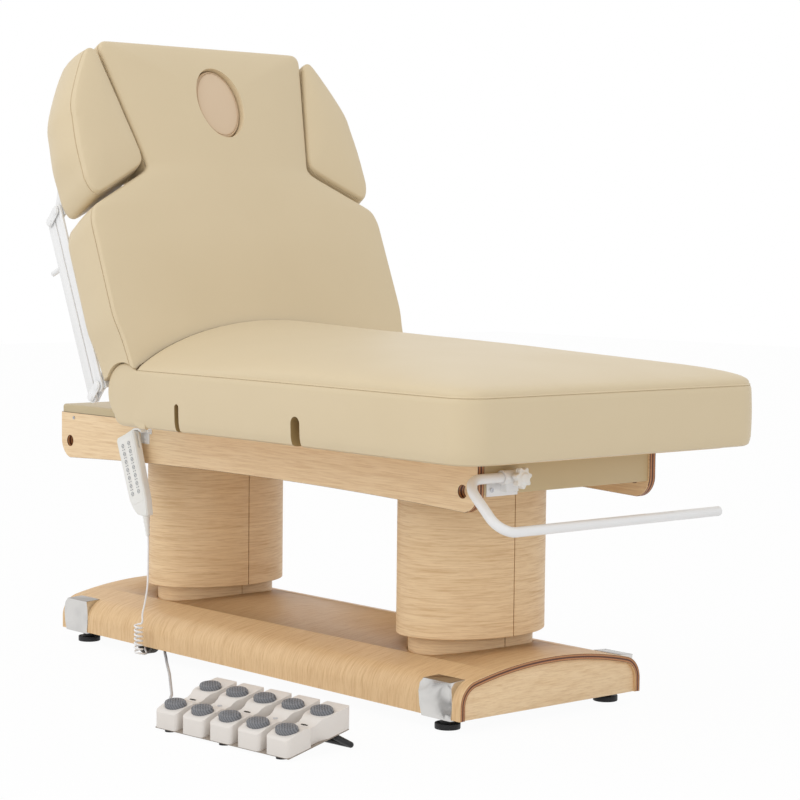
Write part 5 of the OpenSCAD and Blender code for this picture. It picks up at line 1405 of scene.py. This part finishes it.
class BED_OT_backrest(bpy.types.Operator):
    """Backrest cushion with its neck and shoulders, the roll at the hinge and the board behind"""

    bl_idname = "spa_bed.backrest"
    bl_label = "Backrest"

    def execute(self, context):
        groove, pull = seam_sizes()
        line = back_edge()
        n = len(line)
        out = outward(line)
        out[0], out[-1] = (-1, 0), (1, 0)
        s = arc_length(line)
        wave = pucker(s, 9)
        inner = line - out * 28.0
        inner[:, 0] = np.clip(inner[:, 0], -262, 262)
        wall = [(None, POCKET), (None, SKIRT_Z), (22, SKIRT_Z), (10, SKIRT_Z + 0.9), (3.6, SKIRT_Z + 5.0),
                (1.0, SKIRT_Z + 13.0), (0.6, POCKET)]
        wall += [(0.2, -34.0), (-0.6, -22.0), (-1.0, -8.0), (-1.0, 6.0), (-0.6, 20.0), (0.1, 32.0), (0.6, 40.0),
                 (0.9, 45.6), (1.3 + 1.5 * groove, 46.4), (1.4 + 1.5 * groove, 47.4), (1.2, 48.2), (1.6, 51.0),
                 (2.6, 53.8)]
        grid = np.zeros((n, len(wall) + len(ROOF), 3))
        lean = lean_at(line[:, 1])

        def lay(k, yv, z):
            grid[:, k, 0] = -yv[:, 1] - KNEE + lean * (HINGE_D - z)
            grid[:, k, 1] = yv[:, 0]
            grid[:, k, 2] = z

        for k, (inset, z) in enumerate(wall):
            if inset is None:
                yv = inner
            else:
                d = inset - pull * wave * math.exp(-(((z - 40.0) / 7.0) ** 2))
                yv = line - out * (d * np.ones(n))[:, None]
            raised = NECK_LIFT * ease((yv[:, 1] - NECK_FROM) / (NECK_TO - NECK_FROM)) if z < POCKET else 0.0
            lay(k, yv, z + raised * np.ones(n))
        base = line - out * 5.0
        end_v = TOP_V - 150.0
        beyond = np.clip((line[:, 1] - SPINE_V) / (TOP_V - HEAD_R - SPINE_V), 0, 1)
        curved = SPINE_V + (end_v - SPINE_V) * np.sin(np.pi / 2 * beyond)
        spine_v = np.where(line[:, 1] < SPINE_V, line[:, 1], curved)
        spine = np.stack([np.zeros(n), spine_v], axis=1)
        for q, f in enumerate(ROOF):
            yv = spine + f * (base - spine)
            v = yv[:, 1]
            rise = np.where(v < 112, 0.12, 0.12 + 0.88 * ease((v - 112) / 210.0))
            lift = BACK_CROWN * rise * np.where(v < 50, 0.6, 1.0)
            z = HINGE_D + lift * bow(f)
            dist = (1 - f) * np.linalg.norm(base - spine, axis=1)
            z = z + pull * 1.2 * wave * np.exp(-(((dist - 9) / 8.0) ** 2))
            lay(len(wall) + q, yv, z)
        # the side panels run down to the rounded cheeks
        z = grid[:, :, 2]
        reach = -np.sqrt(np.maximum(0, 67.5**2 - np.minimum(np.abs(z), np.where(z < 0, 44.0, 67.4)) ** 2))
        reach = np.minimum(reach, -14.0)
        over = ease((np.abs(grid[:, :, 1]) - 374.0) / 3.0)
        near = 1 - ease((LOW_X - grid[:, :, 0]) / 60.0)
        shift = (np.maximum(reach, LOW_X) - LOW_X) * near * over
        shift[:, :2] = 0
        grid[:, :, 0] += np.maximum(shift, 0)
        flat = back_frame(grid.reshape(-1, 3)).reshape(grid.shape)
        pad = skin("backrest-cushion", flat, "vinyl", recess=6)
        self.hole(pad, [(x - FACE_V, y) for x, y in oval(FACE_A + FACE_GAP, FACE_B + FACE_GAP, 96)])
        tidy(pad, 42.0)
        finish_piece(pad, "back", ("back_cushion",))
        # the darker thread is partly painted shade of the seam's groove
        stitches("backrest-stitches", [flat[:, len(wall) - 4, :]], "back", "dark_thread", 1.6)
        self.roll()
        softened("back_board", "back", "board", 0.001)
        dress("hinge_shaft", "steel")
        return {"FINISHED"}

    def hole(self, pad, ring):
        """Face opening, flared at the front."""
        levels = [(-90.0, 1.0), (66.0, 1.0), (72.0, 1.008), (76.0, 1.02), (78.5, 1.045), (90.0, 1.12)]
        spots = []
        for z, grow in levels:
            spots += [(-FACE_V + (x + FACE_V) * grow, y * grow, z) for x, y in ring]
        carve_with(pad, piece("hole-tool", back_frame(spots), barrel(len(levels), len(ring)), "vinyl"))

    def roll(self):
        """Soft roll round the hinge between the cheeks."""
        low = -HINGE_D + 1
        line = arc(0, 0, HINGE_D, 90, -90, 59)
        line += [(-20.0, low), (LOW_X + 4, low), (LOW_X, low + 4), (LOW_X, HINGE_D)]
        line = np.array(line)
        centre = np.array([-18.0, 0.0])
        end = [(-358.0, 0.93), (-357.0, 0.97), (-353.0, 0.992), (-345.0, 1.0)]
        levels = end + [(y, 1.0) for y in np.linspace(-320, 320, 25)] + [(-y, f) for y, f in end[::-1]]
        spots = []
        for y, f in levels:
            q = centre + f * (line - centre)
            q[:, 0] = np.where(line[:, 0] < LOW_X + 5, line[:, 0], q[:, 0])
            spots += [(a, y, b) for a, b in q]
        obj = piece("backrest-roll", back_frame(spots), barrel(len(levels), len(line)), "vinyl", 50.0)
        finish_piece(obj, "back", ("back_roll",))


def wing_line():
    """Corners of an arm pad's outline as (across, along)."""
    o = BACK_HW - 19
    w0 = NECK_W + 7
    vt = TOP_V - 21
    line = [(w0 + 3.5, 540), (w0 + 1.5, 528), (w0 + 3, 508), (w0 + 9, 499), (w0 + 18, 492)]
    line += [(o - 24, 428.5), (o - 14, 426), (o - 4, 429), (o + 4, 440), (o + 11, 462), (o + 12, 500), (o + 11, 545),
             (o + 6, 600), (o - 1, 650)]
    line += [(NECK_W + 96, vt - 6), (NECK_W + 88, vt), (NECK_W + 79, vt), (NECK_W + 70, vt - 5),
             (NECK_W + 64, vt - 16), (NECK_W + 55, vt - 52)]
    return line


def round_line(points, pitch):
    """A closed smooth line through the points, with even steps."""
    p = np.array(points, dtype=float)
    n = len(p)
    fine = []
    for i in range(n):
        a, b, c, d = p[i - 1], p[i], p[(i + 1) % n], p[(i + 2) % n]
        ta, tb, tc = (np.linalg.norm(b - a) ** 0.5, np.linalg.norm(c - b) ** 0.5, np.linalg.norm(d - c) ** 0.5)
        m1 = ((b - a) / ta - (c - a) / (ta + tb) + (c - b) / tb) * tb
        m2 = ((c - b) / tb - (d - b) / (tb + tc) + (d - c) / tc) * tb
        for j in range(24):
            t = j / 24
            fine.append((2 * t**3 - 3 * t**2 + 1) * b + (t**3 - 2 * t**2 + t) * m1
                        + (-2 * t**3 + 3 * t**2) * c + (t**3 - t**2) * m2)
    fine = np.array(fine + [fine[0]])
    s = arc_length(fine)
    m = int(s[-1] / pitch)
    want = np.linspace(0, s[-1], m, endpoint=False)
    return np.stack([np.interp(want, s, fine[:, 0]), np.interp(want, s, fine[:, 1])], axis=1)


def closed_pad(line, centre, wall, crown, front, place, pull=0.0, seed=1, bulge=0.0):
    """A pad with a closed outline (across, along): wall rows of (inset, height), then a crowned front."""
    n = len(line)
    out = outward(line, closed=True)
    if ((line - centre) * out).sum() < 0:
        out = -out
    s = arc_length(line)
    wave = pucker(s, seed) * np.sin(np.pi * np.linspace(0, 1, n)) ** 0.2
    grid = np.zeros((n, len(wall) + len(ROOF), 3))
    for k, (inset, z) in enumerate(wall):
        d = inset - pull * wave * math.exp(-(((z - front + 14.0) / 7.0) ** 2))
        high = min(max((z - wall[0][1]) / (wall[-1][1] - wall[0][1]), 0), 1)
        d = d - bulge * np.clip(out[:, 0], 0, 1) * ease((line[:, 1] - 470) / 80) * math.sin(math.pi * high**0.8)
        yv = line - out * (np.ones(n) * d)[:, None]
        grid[:, k] = place(yv, np.full(n, float(z)))
    base = line - out * (wall[-1][0] + 1.6)
    for q, f in enumerate(ROOF):
        yv = centre + f * (base - centre)
        dist = (1 - f) * np.linalg.norm(base - centre, axis=1)
        z = front + crown * bow(f) + pull * 1.2 * wave * np.exp(-(((dist - 8) / 7.0) ** 2))
        grid[:, len(wall) + q] = place(yv, z)
    return grid


class BED_OT_arm_pads(bpy.types.Operator):
    """The two arm pads beside the neck of the backrest"""

    bl_idname = "spa_bed.arm_pads"
    bl_label = "Arm pads"

    def execute(self, context):
        groove, pull = seam_sizes()
        low = HINGE_D - 123.7
        wall = [(30, low), (14, low), (5.5, low + 1.6), (1.6, low + 7.0), (0.3, low + 16.0), (-0.6, -30.0),
                (-1.0, -8.0), (-1.0, 12.0), (-0.4, 28.0), (0.5, 39.0), (1.0, 46.0),
                (1.4 + groove, 46.9), (1.5 + groove, 47.7), (1.3, 48.6), (1.9, 51.5), (3.0, 54.6)]
        line = round_line(wing_line(), 6.0)
        for side, label in ((-1, "l"), (1, "r")):
            def place(yv, z, side=side):
                x = -yv[:, 1] - KNEE + 0.17 * (HINGE_D - z)
                return back_frame(np.stack([x, side * yv[:, 0], z], axis=1))

            grid = closed_pad(line, np.array([325.0, 590.0]), wall, 12.0, HINGE_D + 0.6, place, pull=pull,
                              seed=20 + side, bulge=13.0)
            obj = skin(f"arm-pad-{label}", grid, "vinyl", closed=True)
            finish_piece(obj, f"arm_{label}", (f"arm_pad_{label}",))
            seam = grid[:, len(wall) - 4]
            stitches(f"arm-pad-stitches-{label}", [np.concatenate([seam, seam[:1]])], f"arm_{label}")
        return {"FINISHED"}


class BED_OT_face_plug(bpy.types.Operator):
    """Lift-out plug of the face opening"""

    bl_idname = "spa_bed.face_plug"
    bl_label = "Face plug"

    def execute(self, context):
        groove = 0.7 * seam_sizes()[0]
        line = np.array([(y, FACE_V + x) for x, y in oval(FACE_A, FACE_B, 96)])
        wall = [(10, POCKET), (3, POCKET), (0.6, POCKET + 2.4), (0.0, POCKET + 6.0), (0.0, 40.0), (0.0, 55.0),
                (0.3, 59.0), (1.4, 62.6), (3.4, 64.8), (5.4, 65.6), (6.4, 65.6 - groove), (7.0, 65.7 - groove),
                (7.8, 65.9)]

        def place(yv, z):
            return back_frame(np.stack([-yv[:, 1], yv[:, 0], z], axis=1))

        grid = closed_pad(line, np.array([0.0, FACE_V]), wall, 2.6, 66.4, place)
        obj = skin("face-plug", grid, "plug_vinyl", closed=True)
        finish_piece(obj, "face_plug", ("face_plug",))
        seam = grid[:, len(wall) - 3]
        stitches("face-plug-stitches", [np.concatenate([seam, seam[:1]])], "face_plug")
        return {"FINISHED"}


# Fittings
class BED_OT_linkage(bpy.types.Operator):
    """Parallel bars, their mounts and the arm pads' brackets"""

    bl_idname = "spa_bed.linkage"
    bl_label = "Arm linkage"

    def execute(self, context):
        softened("arm_mounts", "back", "paint", 0.0008)
        for side in "lr":
            softened(f"rear_bar_{side}", f"rear_bar_{side}", "paint", 0.001)
            softened(f"front_bar_{side}", f"front_bar_{side}", "paint", 0.001)
            softened(f"arm_bracket_{side}", f"arm_{side}", "paint", 0.0008)
        return {"FINISHED"}


class BED_OT_paper_bar(bpy.types.Operator):
    """Bent bar for the paper roll, its holder and star knob"""

    bl_idname = "spa_bed.paper_bar"
    bl_label = "Paper bar"

    def execute(self, context):
        softened("paper_bar", "paper_bar", "paint", 0.0012, limit=50.0)
        softened("roll_holder", "top", "paint", 0.0008)
        softened("star_knob", "star_knob", "plastic", 0.0014)
        x = frame_x("roll_holder")
        grown("holder-bolts", bolt_tree(), [(x + 6.2, -216.0, 484.0), (x + 6.2, -154.0, 482.0)], "top",
              {"Radius": 0.0046, "Height": 0.0014, "Turn": (0, math.pi / 2, 0), "Material": material("steel")})
        return {"FINISHED"}


class BED_OT_handset(bpy.types.Operator):
    """Handset on its hook, with printed keys"""

    bl_idname = "spa_bed.handset"
    bl_label = "Handset"

    def execute(self, context):
        softened("handset_case", "top", "plastic", 0.0016, segments=3)
        softened("handset_keys", "top", "film", 0.0003)
        softened("handset_holder", "top", "paint", 0.0007)
        front = np.array([0.0, -10.7, 0.0])
        keys = [handset_point(s * KEY_SIDE, -22.0 - KEY_STEP * i) + front for i in range(7) for s in (-1, 1)]
        turn = (math.pi / 2, -math.radians(HANDSET[3]), 0)
        grown("key-rings", print_tree(), keys, "top",
              {"Ring radius": 0.0044, "Line width": 0.0015, "Bar length": 0.0072, "Thickness": 0.0004, "Turn": turn,
               "Material": material("icon")})
        marks = [handset_point(s * KEY_SIDE + d, -31.5 - KEY_STEP * i) + front for i in range(6) for s in (-1, 1)
                 for d in (-3.4, 3.4)]
        grown("key-marks", print_tree(), marks, "top",
              {"Ring radius": 0.0009, "Line width": 0.0012, "Bar length": 0.003, "Thickness": 0.0004, "Turn": turn,
               "Material": material("icon")})
        relief = [handset_point(8.0 - 10.0 * t, -192.0 - 47.0 * t) for t in (0.1, 0.9)]
        grown("relief-ribs", rib_tree(), relief, "top",
              {"Count": 5, "First radius": 0.0083, "Last radius": 0.0046, "Thickness": 0.0042,
               "Material": material("plastic")}, [(0, 1)])
        return {"FINISHED"}


class BED_OT_foot_control(bpy.types.Operator):
    """Five pedal units on their plate, with the grey pads"""

    bl_idname = "spa_bed.foot_control"
    bl_label = "Foot control"

    def execute(self, context):
        softened("foot_housings", "base", "pedal_plastic", 0.0022, segments=3)
        softened("foot_plate", "base", "taupe", 0.0006)
        softened("foot_bail", "base", "black_rubber", 0.001)
        for i in range(1, 11):
            softened(f"pad_{i}", f"pedal_{i}", "pad_rubber", 0.0009)
        slope = math.atan(PEDAL_SLOPE)
        for name, at, ring, bar in (("pedal-marks-dark", (-2, 0, 2), 0.0016, 0.017),
                                    ("pedal-marks-pale", (-1, 1), 0.003, 0.012)):
            spots = [pedal_point(i * PEDAL_PITCH, -1.0, 55.15) for i in at]
            grown(name, print_tree(), spots, "base",
                  {"Ring radius": ring, "Line width": 0.003, "Bar length": bar, "Thickness": 0.0008,
                   "Turn": (slope, 0, math.radians(PEDAL_TURN)),
                   "Material": material("dark" if "dark" in name else "cord_grey")})
        return {"FINISHED"}


class BED_PT_panel(bpy.types.Panel):
    """Pieces of the spa bed in the sidebar"""

    bl_label = "Spa Bed"
    bl_idname = "BED_PT_panel"
    bl_space_type = "VIEW_3D"
    bl_region_type = "UI"
    bl_category = "Spa Bed"

    def draw(self, context):
        layout = self.layout
        scene = context.scene
        for name in POINTERS:
            settings = getattr(scene, name)
            box = layout.box()
            for key in settings.__annotations__:
                box.prop(settings, key)
        for each in OPERATORS:
            layout.operator(each.bl_idname)


SETTINGS = (CushionSettings, TimberSettings, FittingSettings, StageSettings)
OPERATORS = (
    BED_OT_stage, BED_OT_cords, BED_OT_base, BED_OT_columns, BED_OT_top_frame, BED_OT_seat, BED_OT_backrest,
    BED_OT_arm_pads, BED_OT_face_plug, BED_OT_linkage, BED_OT_paper_bar, BED_OT_handset, BED_OT_foot_control,
)
CLASSES = SETTINGS + OPERATORS + (BED_PT_panel,)
POINTERS = dict(zip(("bed_cushions", "bed_timber", "bed_fittings", "bed_stage"), SETTINGS))


def register():
    for each in CLASSES:
        bpy.utils.register_class(each)
    for key, kind in POINTERS.items():
        setattr(bpy.types.Scene, key, bpy.props.PointerProperty(type=kind))


def unregister():
    for key in POINTERS:
        delattr(bpy.types.Scene, key)
    for each in reversed(CLASSES):
        bpy.utils.unregister_class(each)


def main():
    register()
    for each in OPERATORS:
        family, call = each.bl_idname.split(".")
        getattr(getattr(bpy.ops, family), call)()


if __name__ == "__main__":
    main()
